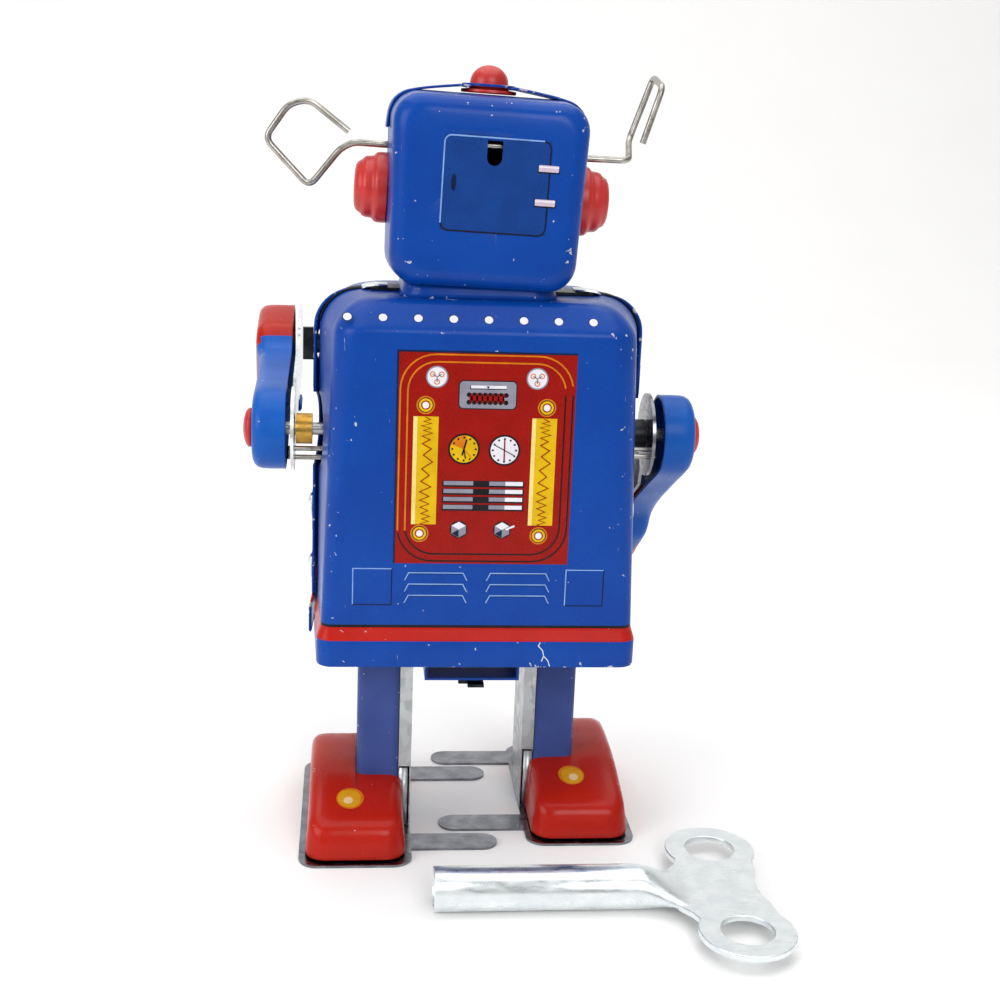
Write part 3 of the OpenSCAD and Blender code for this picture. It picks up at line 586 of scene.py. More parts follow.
class Printing:
    """Flat printed shapes on a pressed face, layered a few hundredths of a millimetre apart."""

    def __init__(self, place, facing):
        self.place, self.facing = place, facing
        self.points, self.faces, self.marks, self.inks = [], [], [], []

    def patch(self, outline, ink, level=1):
        """Adds a filled outline of (x, z) points."""
        start = len(self.points)
        self.points += [self.place(x, z, 0.02 * level) for x, z in outline]
        self.faces.append(tuple(range(start, len(self.points))))
        self.mark(ink)

    def band(self, outer, inner, ink, level=1, closed=True):
        """Adds the strip between two outlines with as many points."""
        count, start = len(outer), len(self.points)
        for outline in (outer, inner):
            self.points += [self.place(x, z, 0.02 * level) for x, z in outline]
        for i in range(count if closed else count - 1):
            j = (i + 1) % count
            self.faces.append((start + i, start + j, start + count + j, start + count + i))
            self.mark(ink)

    def mark(self, ink):
        if ink not in self.inks:
            self.inks.append(ink)
        self.marks.append(self.inks.index(ink))

    def disc(self, centre, radius, ink, level=1, count=32):
        self.patch(arc(centre, radius, 0, 360, count)[:-1], ink, level)

    def ring(self, centre, radius, width, ink, level=1, count=40):
        outer = arc(centre, radius, 0, 360, count)[:-1]
        inner = arc(centre, radius - width, 0, 360, count)[:-1]
        self.band(outer, inner, ink, level)

    def box(self, left, right, low, high, ink, level=1, radius=0.0):
        if radius:
            self.patch(rounded_loop(left, right, low, high, radius, 6, 1), ink, level)
        else:
            self.patch([(left, low), (right, low), (right, high), (left, high)], ink, level)

    def line(self, path, width, ink, level=1, closed=False):
        """Adds a line of even width along a path."""
        places = [Vector(p) for p in path]
        sides = []
        for i, here in enumerate(places):
            before = places[i - 1] if i or closed else here
            after = places[(i + 1) % len(places)] if i + 1 < len(places) or closed else here
            ahead = ((here - before).normalized() + (after - here).normalized()).normalized()
            step = (after - here).normalized() if after != here else (here - before).normalized()
            across = Vector((-ahead.y, ahead.x))
            miter = max(0.5, across.dot(Vector((-step.y, step.x))))
            sides.append(across * (width / 2 / miter))
        outer = [tuple(p + s) for p, s in zip(places, sides)]
        inner = [tuple(p - s) for p, s in zip(places, sides)]
        self.band(outer, inner, ink, level, closed)

    def make(self, name):
        return mesh_piece(name, self.points, self.faces, self.inks, self.marks,
                          facing=self.facing, merge=False)


def on_back(x, z, lift):
    return (x, BACK_Y + 0.01 + lift, z)


def on_front(x, z, lift):
    return (x, 2 * SEAM_Y - BACK_Y - 0.01 - lift, z)


def gauge(sheet, centre, radius, face_ink, hands):
    """A printed dial with a dark ring, twelve marks and its hands."""
    cx, cz = centre
    sheet.disc(centre, radius, BLACK, 3)
    sheet.disc(centre, radius - 0.28, face_ink, 4)
    for i in range(12):
        turn = math.radians(30 * i)
        dot = (cx + (radius - 0.62) * math.cos(turn), cz + (radius - 0.62) * math.sin(turn))
        sheet.disc(dot, 0.16, BLACK, 6, 8)
    for angle, back, ahead, width, ink in hands:
        turn = math.radians(angle)
        ends = [(cx - back * math.cos(turn), cz - back * math.sin(turn)),
                (cx + ahead * math.cos(turn), cz + ahead * math.sin(turn))]
        sheet.line(ends, width, ink, 6)


def rear_panel():
    """Instrument panel printed on the flat back."""
    sheet = Printing(on_back, (0, 1, 0))
    sheet.box(-13.2, 13.0, 47.5, 79.6, PANEL_RED)
    sheet.line([(13.0, 47.5), (13.0, 79.6), (-13.2, 79.6)], 0.28, DARK_BLUE, 2)
    for inset, radius in ((0.4, 5.2), (1.5, 4.3)):
        left, right, low, high = -13.2 + inset, 13.0 - inset, 47.5 + inset, 79.6 - inset
        bright = [(right, 52.6)] + arc((right - radius, high - radius), radius, 0, 90, 8)
        bright += arc((left + radius, high - radius), radius, 90, 170, 8)
        sheet.line(bright, 0.24, ORANGE, 2)
        dark = [(left, 73.5), (left, low + radius)]
        dark += arc((left + radius, low + radius), radius, 180, 270, 8)
        dark += arc((right - radius, low + radius), radius, 270, 350, 8)
        sheet.line(dark, 0.24, BLACK, 2)
    for x in (7.3, -7.4):
        sheet.disc((x, 75.9), 1.62, GREY, 3)
        sheet.disc((x, 75.9), 1.42, WHITE, 4)
        for turn in (30, 150, 270):
            spot = (x + 0.75 * math.cos(math.radians(turn)), 75.9 + 0.75 * math.sin(math.radians(turn)))
            sheet.ring(spot, 0.42, 0.14, ORANGE, 5, 16)
            sheet.line([(x, 75.9), spot], 0.16, GREY, 5)
    sheet.box(-4.5, 4.1, 71.2, 75.5, BLACK, 3, 0.7)
    sheet.box(-4.35, 3.95, 71.35, 75.35, GREY, 4, 0.6)
    sheet.box(-2.9, 2.4, 74.25, 74.75, WHITE, 5)
    sheet.line([(-2.9, 74.25), (2.4, 74.25), (2.4, 74.75)], 0.12, BLACK, 6)
    sheet.patch([(-0.45, 74.65), (0.05, 74.65), (-0.2, 74.3)], BLACK, 7)
    for i in range(8):
        x = -2.9 + 0.78 * i
        for z in (73.35, 72.25):
            sheet.disc((x, z), 0.36, BLACK, 5, 12)
    sheet.box(-2.6, 2.5, 72.5, 73.2, PANEL_RED, 6)
    for i in range(7):
        sheet.box(-2.65 + 0.78 * i, -2.4 + 0.78 * i, 72.1, 73.6, PANEL_RED, 6)
    for x, z in ((8.85, 71.7), (-9.0, 71.6), (9.3, 52.2), (-8.6, 52.0)):
        sheet.disc((x, z), 1.36, ORANGE, 3)
        sheet.disc((x, z), 1.14, BLACK, 4)
        sheet.disc((x, z), 1.0, YELLOW, 5)
        sheet.disc((x, z), 0.68, PANEL_RED, 6)
        sheet.disc((x, z), 0.5, WHITE, 7)
    zigzag = [0.3, -0.5, 0.55, -0.7, 0.9, -0.6, 0.55, -0.85, 0.75, -0.5, 0.7, -0.75, 0.5, -0.95, 0.7,
              -0.5, 0.8, -0.8, 0.95, -0.55, 0.9, -0.6, 0.85, -0.45, 0.65, -0.75, 0.5, -0.6, 0.7, -0.3]
    steps = [0.32, 0.3, 0.3, 0.35, 0.35, 0.3, 0.4, 0.45, 0.5, 0.6, 0.75, 0.9, 1.0, 1.05, 0.95,
             0.9, 0.8, 0.75, 0.65, 0.6, 0.55, 0.5, 0.5, 0.45, 0.4, 0.4, 0.35, 0.35, 0.35]
    for low_x, high_x in ((6.9, 10.6), (-10.6, -6.9)):
        sheet.box(low_x, high_x, 53.6, 70.0, YELLOW, 3)
        sheet.box(high_x - 0.62, high_x, 53.6, 70.0, PALE, 4)
        sheet.box(high_x - 0.62, high_x, 53.6, 70.0, YELLOW_PALE, 5)
        z, path = 69.9, []
        middle = (low_x + high_x) / 2 - 0.2
        for swing, step in zip(zigzag, steps + [0.3]):
            path.append((middle + swing * 0.95, z))
            z -= step * 1.03
        sheet.line(path, 0.15, PANEL_RED, 6)
    gauge(sheet, (3.05, 65.2), 2.35, YELLOW,
          [(50, 1.7, 1.7, 0.13, ORANGE), (105, 1.0, 1.5, 0.26, BLACK), (-100, 0.0, 1.5, 0.18, BLACK)])
    sheet.patch([(3.05, 65.2)] + arc((3.05, 65.2), 2.05, 20, 100, 10), ORANGE, 5)
    gauge(sheet, (-2.95, 65.1), 2.35, WHITE,
          [(90, 1.7, 1.8, 0.2, PANEL_RED), (28, 1.6, 1.7, 0.13, BLACK)])
    for x in (3.45, -3.05):
        sheet.disc((x, 52.85), 1.34, BLACK, 3, 20)
        sheet.patch(arc((x, 52.85), 1.26, 30, 390, 6)[:-1], GREY, 4)
        sheet.patch([(x, 52.85)] + arc((x, 52.85), 1.2, 30, 150, 2), WHITE, 5)
        sheet.patch([(x, 52.85)] + arc((x, 52.85), 1.2, 270, 330, 1), DARK_BLUE, 5)
    sheet.line([(-3.6, 52.9), (-4.9, 53.5)], 0.3, WHITE, 6)
    return sheet.make("rear_panel_print")


def rear_outlines():
    """Fine outlined squares at the back and a thin forked nickel line on the skirt."""
    sheet = Printing(on_back, (0, 1, 0))
    for left, right in ((13.3, 19.1), (-18.9, -13.1)):
        sheet.line([(right, 40.9), (right, 46.6), (left, 46.6)], 0.16, PALE, 1)
        sheet.line([(left, 46.6), (left, 40.9), (right, 40.9)], 0.16, DARK_BLUE, 2)
    for path in ([(-9.6, 35.2), (-9.3, 34.6), (-10.0, 33.9), (-10.2, 33.0), (-10.9, 32.2), (-11.2, 31.3)],
                 [(-10.2, 33.0), (-9.9, 32.1)]):
        start = len(sheet.points)
        sheet.line(path, 0.12, NICKEL, 1)
        sheet.points[start:] = [(x, 16.73, z) for x, _, z in sheet.points[start:]]
    return sheet.make("rear_outline_print")


def front_panel():
    """Chest printing: a panel with two dials, a speaker grille and three buttons."""
    sheet = Printing(on_front, (0, -1, 0))
    sheet.box(-14, 14, 46, 79, PANEL_RED, 1)
    loop = rounded_loop(-13, 13, 47, 78, 4, 8, 4)
    sheet.line(loop, 0.35, YELLOW, 2, closed=True)
    gauge(sheet, (-6.5, 70.5), 4.2, WHITE, [(60, 1.0, 3.0, 0.3, PANEL_RED), (150, 1.0, 2.4, 0.25, BLACK)])
    gauge(sheet, (6.5, 70.5), 4.2, YELLOW, [(120, 1.0, 3.0, 0.3, BLACK), (20, 1.0, 2.4, 0.25, ORANGE)])
    sheet.box(-9, 9, 55, 63, BLACK, 3, 1.0)
    sheet.box(-8.7, 8.7, 55.3, 62.7, GREY, 4, 0.9)
    for x, ink in ((-6, YELLOW), (0, WHITE), (6, ORANGE)):
        sheet.disc((x, 50.5), 1.6, BLACK, 3)
        sheet.disc((x, 50.5), 1.3, ink, 4)
    return sheet.make("front_panel_print")


def head_point(side, x, z, lift):
    """A point printed on the flat face of the head; side is 1 at the back, -1 in front."""
    return lean_head((x, SEAM_Y + side * (HEAD_BACK_Y - SEAM_Y + 0.01 + lift), z))


def hatch_print():
    """Battery hatch printed on the back of the head, with its hinges and its finger hole."""
    sheet = Printing(lambda x, z, lift: head_point(1, x, z, lift), (0, 1, 0))
    slot = [(0.7, 109.5), (0.7, 107.1)] + arc((-0.4, 107.1), 1.1, 0, -180, 8) + [(-1.5, 109.5)]
    sheet.patch([(6.8, 96.8), (6.8, 109.9), (0.7, 109.9)] + slot
                + [(-1.5, 109.9), (-8.4, 109.9), (-8.4, 96.6), (6.8, 96.6)], HATCH_BLUE, 1)
    bright = [(6.8, 97.6)] + arc((5.8, 108.9), 1.0, 0, 90, 5) + [(-7.4, 109.9)]
    sheet.line(bright, 0.2, PALE, 2)
    dark = [(-7.4, 109.9), (-8.1, 109.6), (-8.4, 108.9), (-8.4, 97.6), (-8.1, 96.9), (-7.4, 96.6),
            (5.8, 96.6), (6.5, 96.9), (6.8, 97.6)]
    sheet.line(dark, 0.22, BLACK, 2)
    finger_hole = arc((0, 0), 1.0, 0, 360, 24)[:-1]
    sheet.patch([(5.2 + 0.36 * x, 103.4 + 1.2 * z) for x, z in finger_hole], DARK_BLUE, 2)
    for x, z in ((-8.2, 106.1), (-8.0, 101.3)):
        sheet.box(x - 1.6, x + 1.5, z - 0.62, z + 0.42, BLACK, 3)
        sheet.box(x - 1.5, x + 1.4, z - 0.42, z + 0.5, PINK, 4, 0.12)
        sheet.box(x - 1.5, x + 1.4, z + 0.12, z + 0.36, WHITE, 5)
    return sheet.make("hatch_print")


def face_print():
    """A plain toy face of round eyes and a barred mouth."""
    sheet = Printing(lambda x, z, lift: head_point(-1, x, z, lift), (0, -1, 0))
    for x in (-5.6, 5.6):
        sheet.disc((x, 105.5), 3.4, BLACK, 1)
        sheet.disc((x, 105.5), 3.1, YELLOW, 2)
        sheet.disc((x, 105.5), 2.4, WHITE, 3)
        sheet.disc((x, 105.5), 1.3, BLACK, 4)
        sheet.disc((x + 0.5, 106.1), 0.4, WHITE, 5, 12)
    sheet.patch([(-1.2, 99.8), (1.2, 99.8), (0, 102.4)], PANEL_RED, 1)
    sheet.box(-6.5, 6.5, 92.6, 97.4, BLACK, 1, 1.2)
    sheet.box(-6.1, 6.1, 93.0, 97.0, WHITE, 2, 1.0)
    return sheet.make("face_print")


# ---------- repeated pieces ----------


def copies_tree():
    """Geometry Nodes tree that repeats a shape along a row or round a centre."""
    tree = bpy.data.node_groups.new("Row of pressed copies", "GeometryNodeTree")
    tree.interface.new_socket("Geometry", in_out="INPUT", socket_type="NodeSocketGeometry")
    tree.interface.new_socket("Count", in_out="INPUT", socket_type="NodeSocketInt")
    tree.interface.new_socket("Start", in_out="INPUT", socket_type="NodeSocketVector")
    tree.interface.new_socket("Step", in_out="INPUT", socket_type="NodeSocketVector")
    tree.interface.new_socket("Turn", in_out="INPUT", socket_type="NodeSocketFloat")
    tree.interface.new_socket("Finish", in_out="INPUT", socket_type="NodeSocketMaterial")
    tree.interface.new_socket("Geometry", in_out="OUTPUT", socket_type="NodeSocketGeometry")
    given = add(tree, "NodeGroupInput").outputs
    line = add(tree, "GeometryNodeMeshLine", {
        "Count": given["Count"], "Start Location": given["Start"], "Offset": given["Step"]})
    index = add(tree, "GeometryNodeInputIndex").outputs[0]
    angle = add(tree, "ShaderNodeMath", {0: index, 1: given["Turn"]}, operation="MULTIPLY")
    turn = add(tree, "ShaderNodeCombineXYZ", {"Y": angle.outputs[0]})
    placed = add(tree, "GeometryNodeInstanceOnPoints", {
        "Points": line.outputs[0], "Instance": given["Geometry"], "Rotation": turn.outputs[0]})
    real = add(tree, "GeometryNodeRealizeInstances", {"Geometry": placed.outputs[0]})
    finished = add(tree, "GeometryNodeSetMaterial", {
        "Geometry": real.outputs[0], "Material": given["Finish"]})
    add(tree, "NodeGroupOutput", {"Geometry": finished.outputs[0]})
    return tree


def repeat(piece, count, start, step, finish, turn=0.0):
    """Repeats a shape drawn round the origin; start and step are in millimetres."""
    tree = bpy.data.node_groups.get("Row of pressed copies") or copies_tree()
    modifier = piece.modifiers.new("Copies", "NODES")
    modifier.node_group = tree
    values = {"Count": count, "Start": [c * MM for c in start], "Step": [c * MM for c in step],
              "Turn": math.radians(turn), "Finish": bpy.data.materials[finish]}
    for socket in tree.interface.items_tree:
        if socket.in_out == "INPUT" and socket.name in values:
            modifier[socket.identifier] = values[socket.name]
    return apply_modifiers(piece)


# ---------- arms ----------


def arm_outline():
    """Closed outline of a hanging arm, (y, z) from its pivot: round shoulder, wrist and hand."""
    half = [(0, 6.35), (2.43, 5.87), (4.49, 4.49), (5.87, 2.43), (6.35, 0), (6.15, -2.6), (5.6, -6),
            (4.9, -11), (4.3, -16), (4.1, -20), (4.4, -22.8), (5.5, -24.7), (6.2, -26.5),
            (6.35, -29), (6.35, -33.5), (6.0, -36.2), (4.6, -37.9), (2.3, -38.5), (0, -38.5)]
    loop = half + [(-y, z) for y, z in reversed(half[1:-1])]
    count, smooth = len(loop), []
    for i in range(count):
        p0, p1, p2, p3 = (Vector(loop[(i + k) % count]) for k in (-1, 0, 1, 2))
        for t in (0.0, 0.25, 0.5, 0.75):
            smooth.append(0.5 * (2 * p1 + (p2 - p0) * t + (2 * p0 - 5 * p1 + 4 * p2 - p3) * t ** 2
                                 + (3 * p1 - p0 - 3 * p2 + p3) * t ** 3))
    return smooth


def inset_loop(loop, depth):
    """The loop drawn in by depth along its inward normals."""
    moved = []
    for before, here, after in zip(loop[-1:] + loop[:-1], loop, loop[1:] + loop[:1]):
        ahead = (after - before).normalized()
        moved.append(here - Vector((-ahead.y, ahead.x)) * depth)
    return moved


def arm_place(side, angle, bend, x, y, z):
    """Puts a point of a hanging left arm on its side and turns it forward; bend moves the hand in."""
    x -= bend * min(1.0, max(0.0, z / -HAND_REACH)) + (RIGHT_ARM_IN if side < 0 else 0.0)
    turn = -angle
    around = (y * math.cos(turn) - z * math.sin(turn), y * math.sin(turn) + z * math.cos(turn))
    return (side * x, SHOULDER[0] + around[0], SHOULDER[1] + around[1])


def arm_shell(name, side, angle, bend):
    """Pressed arm with a round shoulder, narrow wrist and a printed red hand."""
    loop = arm_outline()
    if (loop[8] - loop[0]).x < 0:
        loop.reverse()
    inward = 1 if sum(a.x * b.y - b.x * a.y for a, b in zip(loop, loop[1:] + loop[:1])) < 0 else -1
    sections = [(29.6, 0.0), (29.75, 0.02), (31.5, 0.0), (33.1, 0.05), (33.7, 0.18), (34.15, 0.45),
                (34.45, 0.8), (34.64, 1.2), (34.74, 1.7), (34.78, 2.4)]
    points, marks = [], []
    for x, depth in sections:
        for p in inset_loop(loop, depth * inward):
            swell = min(1.0, max(0.0, (-20.5 - p.y) / 5.0))
            swell = (HAND_SWELL if side > 0 else 0.0) * swell * swell * (3 - 2 * swell)
            swell *= (x - sections[0][0]) / (sections[-1][0] - sections[0][0])
            points.append(arm_place(side, angle, bend, x + swell, p.x, p.y))
    count = len(loop)
    faces = grid_faces(len(sections), count, True)
    for row in range(len(sections) - 1):
        for i in range(count):
            middle = (loop[i] + loop[(i + 1) % count]) / 2
            hand = middle.y < -23.2 - (1.2 if row < 5 else 0) - (6 if side < 0 and row < 9 else 0)
            behind = middle.x > 1.5 and row < 4
            marks.append(1 if hand and not behind else 0)
    inner = inset_loop(loop, 2.4 * inward)
    top = [i for i in range(count) if inner[i].y >= -23.4]
    low = [i for i in range(count) if inner[i].y < -23.4]
    base = (len(sections) - 1) * count
    start = top.index(next(i for i in top if (i - 1) % count in low))
    top = top[start:] + top[:start]
    start = low.index(next(i for i in low if (i - 1) % count in top))
    low = low[start:] + low[:start]
    faces.append(tuple(base + i for i in [low[-1]] + top + [low[0]]))
    faces.append(tuple(base + i for i in low))
    marks += [0, 1]
    hub = arm_place(side, angle, bend, 28.5, 0, -15)
    return mesh_piece(name, points, faces, [ARM_BLUE, SHOE_RED], marks, hub=hub, angle=50)


def arm_tab(name, side, angle, bend):
    """Blue tongue of the arm folded over the edge of its steel plate."""
    points = []
    path = [(30.4, -4.15), (29.3, -4.3), (28.6, -4.75), (28.05, -4.9), (27.75, -4.4), (27.9, -3.6)]
    for x, y in path:
        for z, wide in ((-16.2, 0), (-16.6, 1), (-19.6, 1), (-20.2, 0)):
            points.append(arm_place(side, angle, bend, x, -y - (0.1 if wide else 0), z))
    faces = grid_faces(len(path), 4, False)
    return mesh_piece(name, points, faces, [ARM_BLUE], hub=arm_place(side, angle, bend, 29, 0, -18))


def arm_button(name, side, angle):
    """Domed red button that closes the shoulder."""
    profile = [(2.0, -1.2), (2.0, 0.0), (2.95, 0.02), (3.05, 0.25), (3.0, 0.55), (2.7, 0.85), (2.2, 1.08),
               (1.5, 1.26), (0.8, 1.36), (0.02, 1.4)]
    points, faces = lathe(profile, lambda u, v, d: arm_place(side, angle, 0, 34.85 + d, u, v), 48)
    return mesh_piece(name, points, faces, [PLASTIC])


# ---------- legs and key ----------


def leg_point(side, x, y, z):
    """Puts a point of a left leg midway in its stride where that leg stands at rest."""
    return (side * x, y + side * HALF_STRIDE, z)


def leg_cover_mesh(name, side):
    """Printed channel round the front, side and back of a leg."""
    outline = [(11.4, 4.9), (12.6, 4.9), (14.0, 4.9), (15.4, 4.9)]
    outline += arc((18.0 - 1.3, 4.9 - 1.3), 1.3, 90, 0, 6)
    outline += [(18.0, y) for y in (1.5, -1.0, -3.5)]
    outline += arc((18.0 - 1.3, -7.0 + 1.3), 1.3, 0, -90, 6)
    outline += [(15.4, -7.0), (14.0, -7.0), (12.6, -7.0), (11.4, -7.0)]
    heights = [5.2, 9.5, 10.4, 14, 18, 22, 26, 30, 34, 37]
    points = [leg_point(side, x, y, z) for z in heights for x, y in outline]
    faces = grid_faces(len(heights), len(outline), False)
    return mesh_piece(name, points, faces, [LEG_BLUE], hub=leg_point(side, 12, -1, 20))


def shoe_height(y):
    """Height of a shoe's top along its length."""
    bends = [(-18.5, 5.4), (-16.5, 6.5), (-13.5, 8.4), (-10.0, 9.9), (-6.0, 10.1), (0.0, 9.9),
             (5.0, 9.3), (9.0, 8.35), (12.0, 7.55), (14.3, 6.75), (15.6, 6.2), (17.4, 5.2)]
    if y <= bends[0][0]:
        return bends[0][1]
    for (y0, z0), (y1, z1) in zip(bends, bends[1:]):
        if y <= y1:
            return z0 + (z1 - z0) * (y - y0) / (y1 - y0)
    return bends[-1][1]


def shoe_mesh(name, side):
    """Pressed shoe with a rounded heel and toe, open under the leg."""
    rings = [(0.75, 0.0), (0.9, -0.05), (1.5, 0.0), (3.0, 0.16), ("w", 0.42), ("w", 0.62), ("w", 0.95),
             ("w", 1.4), ("w", 1.95), ("w", 2.6), ("w", 3.6), ("w", 5.0), ("w", 6.4), ("w", 7.6)]
    under = [0, 0, 0, 0, 1.9, 1.15, 0.62, 0.3, 0.12, 0.04, 0, 0, 0, 0]
    points, loops = [], 0
    for (level, inset), below in zip(rings, under):
        wide = 7.8 - inset
        radius = max(0.15, min(3.2 - inset * 0.35, wide))
        loop = rounded_loop(18.1 - wide, 18.1 + wide, -18.5 + inset, 17.4 - inset, radius, 8, 16)
        for x, y in loop:
            top = shoe_height(y)
            z = top - below * min(1.0, top / 7) if level == "w" else level
            points.append(leg_point(side, x, y, z))
        loops += 1
    count = len(points) // loops
    faces = grid_faces(loops, count, True)
    faces.append(tuple(range(len(points) - count, len(points))))
    return mesh_piece(name, points, faces, [SHOE_RED], hub=leg_point(side, 18.1, 0, 1), angle=60)


def shoe_dot(name, side, x, y):
    """Shaded yellow rivet head printed on the heel of a shoe."""
    points, faces, marks = [], [], []
    for level, (dx, dy, rx, ry, ink) in enumerate([
            (0, 0, 2.15, 2.3, 0), (0.12, 0.1, 1.8, 1.95, 1), (0.3, 0.55, 0.75, 0.8, 2)]):
        start = len(points)
        for i in range(28):
            turn = 2 * math.pi * i / 28
            u, v = x + dx + rx * math.cos(turn), y + dy + ry * math.sin(turn)
            points.append(leg_point(side, u, v, shoe_height(v) + 0.03 + 0.02 * level))
        middle = len(points)
        points.append(leg_point(side, x + dx, y + dy, shoe_height(y + dy) + 0.03 + 0.02 * level))
        faces += [(start + i, start + (i + 1) % 28, middle) for i in range(28)]
        marks += [ink] * 28
    return mesh_piece(name, points, faces, [ORANGE, AMBER, SAND], marks, facing=(0, 0, 1), merge=False)


def key_tube(name):
    """Rolled tube of the key, pressed flat into a fan where it meets the bow."""
    # up the bore, round the mouth and back along the outside
    rings = [(-18.0, 2.65, 0.0), (6.72, 2.65, 0.0), (6.8, 2.75, 0.0), (6.8, 3.2, 0.0), (6.7, 3.29, 0.0),
             (-23.0, 3.29, 0.0)]
    rings += [(-23.0 - 11.6 * i / 16, 3.29, i / 16) for i in range(1, 17)]
    columns, points = 44, []
    for x, radius, way in rings:
        flat = min(1.0, way * 1.35)
        flat = flat * flat * (3 - 2 * flat)
        fan = way * way * (1.7 - 0.7 * way)
        half_width = radius + (8.9 - radius) * fan
        half_height = radius + (0.44 - radius) * flat
        middle = 3.3 - 0.8 * flat
        for i in range(columns):
            turn = 2 * math.pi * i / columns
            points.append((x, 34 + half_width * math.cos(turn), middle + half_height * math.sin(turn)))
    faces = grid_faces(len(rings), columns, True)
    faces += [tuple(range(columns)), tuple(range(len(points) - columns, len(points)))]
    return mesh_piece(name, points, faces, [NICKEL], angle=60)


def key_bow(name):
    """Flat bow of the key with two lobes and two finger holes."""
    centres = [(-37.2, 46.0), (-37.2, 22.0)]
    right = arc(centres[0], 7.0, 90, -28, 22)
    waist = [(-30.4, 41.2), (-29.0, 39.4), (-27.8, 37.2), (-27.4, 34.0), (-27.8, 30.8), (-29.0, 28.6),
             (-30.4, 26.8)]
    near = arc(centres[1], 7.0, 28, -90, 22)
    far = arc(centres[1], 7.0, -90, -215, 22)[1:]
    back = [(-42.5, 29.6), (-41.8, 32.0), (-41.65, 34.0), (-41.8, 36.0), (-42.5, 38.4)]
    close = arc(centres[0], 7.0, 215, 90, 22)[:-1]
    outline = right + waist + near + far + back + close
    curve = bpy.data.curves.new(name, "CURVE")
    curve.dimensions = "2D"
    curve.fill_mode = "BOTH"
    curve.extrude = 0.33 * MM
    curve.bevel_depth = 0.12 * MM
    curve.offset = -0.12 * MM
    curve.bevel_resolution = 3
    holes = [arc(c, 3.85, 0, 360, 40)[:-1] for c in centres]
    for loop in [outline] + holes:
        spline = curve.splines.new("POLY")
        spline.points.add(len(loop) - 1)
        for point, (x, y) in zip(spline.points, loop):
            point.co = (x * MM, y * MM, 0, 1)
        spline.use_cyclic_u = True
    drawn = bpy.data.objects.new(name + "_drawn", curve)
    bpy.context.scene.collection.objects.link(drawn)
    flat = bpy.data.meshes.new_from_object(drawn.evaluated_get(bpy.context.evaluated_depsgraph_get()))
    bpy.data.objects.remove(drawn)
    points = [(v.co.x / MM, v.co.y / MM, v.co.z / MM + 2.5) for v in flat.vertices]
    faces = [tuple(p.vertices) for p in flat.polygons]
    bow = mesh_piece(name, points, faces, [NICKEL], angle=30)
    for face in bow.data.polygons:
        face.use_smooth = abs(face.normal.z) < 0.99
    return bow


# ---------- add-on ----------


class RobotSizes(bpy.types.PropertyGroup):
    """Sizes and colours of the printed robot."""

    sheet: FloatProperty(
        name="Sheet thickness", description="Thickness of the printed tin",
        default=0.4 * MM, min=0.2 * MM, max=0.6 * MM, precision=5, subtype="DISTANCE")
    head_lean: FloatProperty(
        name="Head lean", description="How far the head leans to the robot's right",
        default=math.radians(2), min=0.0, max=math.radians(4), subtype="ANGLE")
    left_arm: FloatProperty(
        name="Left arm", description="Angle of the left arm forward from hanging",
        default=math.radians(104), min=math.radians(40), max=math.radians(110), subtype="ANGLE")
    right_arm: FloatProperty(
        name="Right arm", description="Angle of the right arm forward from hanging",
        default=math.radians(50), min=math.radians(40), max=math.radians(110), subtype="ANGLE")
    hand_bend: FloatProperty(
        name="Hand bend", description="How far the right hand is bent inwards",
        default=2.6 * MM, min=0.0, max=3.0 * MM, precision=5, subtype="DISTANCE")
    band_dots: IntProperty(
        name="Band dots", description="Number of printed dots on the sloping band",
        default=8, min=2, max=12)
    blue: FloatVectorProperty(
        name="Blue", description="Main colour of the printed tin", subtype="COLOR", size=4,
        default=linear("03429C"), min=0.0, max=1.0)
    red: FloatVectorProperty(
        name="Red", description="Colour of the shoes and ears", subtype="COLOR", size=4,
        default=linear("AF1D0C"), min=0.0, max=1.0)


class ROBOT_OT_finishes(bpy.types.Operator):
    """Makes the finishes and puts them on the carried-over metal parts"""

    bl_idname = "tin_robot.finishes"
    bl_label = "Finishes"

    def execute(self, context):
        make_finishes(context.scene.tin_robot)
        for part in frame["record"]["subparts"]:
            name = part["node"]
            finish = NODE_FINISH.get(name, SLOT_FINISH[part["material_slot"]])
            for material_slot in frame["nodes"][name].material_slots:
                material_slot.material = bpy.data.materials[finish]
        return {"FINISHED"}


class ROBOT_OT_body(bpy.types.Operator):
    """Makes the two printed body covers and their folded tabs"""

    bl_idname = "tin_robot.body"
    bl_label = "Body covers"

    def execute(self, context):
        sheet = context.scene.tin_robot.sheet / MM
        for name, side, node in (("rear_body_cover", 1, "rear_cover"),
                                 ("front_body_cover", -1, "front_cover")):
            cover = thicken(cover_mesh(name, side), sheet)
            cut_away(cover, cover_openings(side < 0))
            ride(cover, "frame", "tin_blue", node)
        for side, label in ((1, "left"), (-1, "right")):
            seam_strip(side, label)
            seam_shade_bands(side, label)
            seam_tabs(side, label)
        neck_collar()
        return {"FINISHED"}


def seam_strip(side, label):
    """Dark tin strip under the head that runs down over the seam at a shoulder."""
    path = [(x, BODY_TOP + 0.16) for x in (12.0, 15.0, 18.6)]
    path += arc((18.6, BODY_TOP - CORNER_R), CORNER_R + 0.16, 84, 12, 12)
    points = [(side * x, y, z) for x, z in path for y in (-0.9, 0.3, 1.9)]
    strip = mesh_piece(f"{label}_seam_strip", points, grid_faces(len(path), 3, False), [INSIDE_DARK],
                       hub=(0, SEAM_Y, 60))
    ride(thicken(strip, 0.2), "frame", "dark_steel")


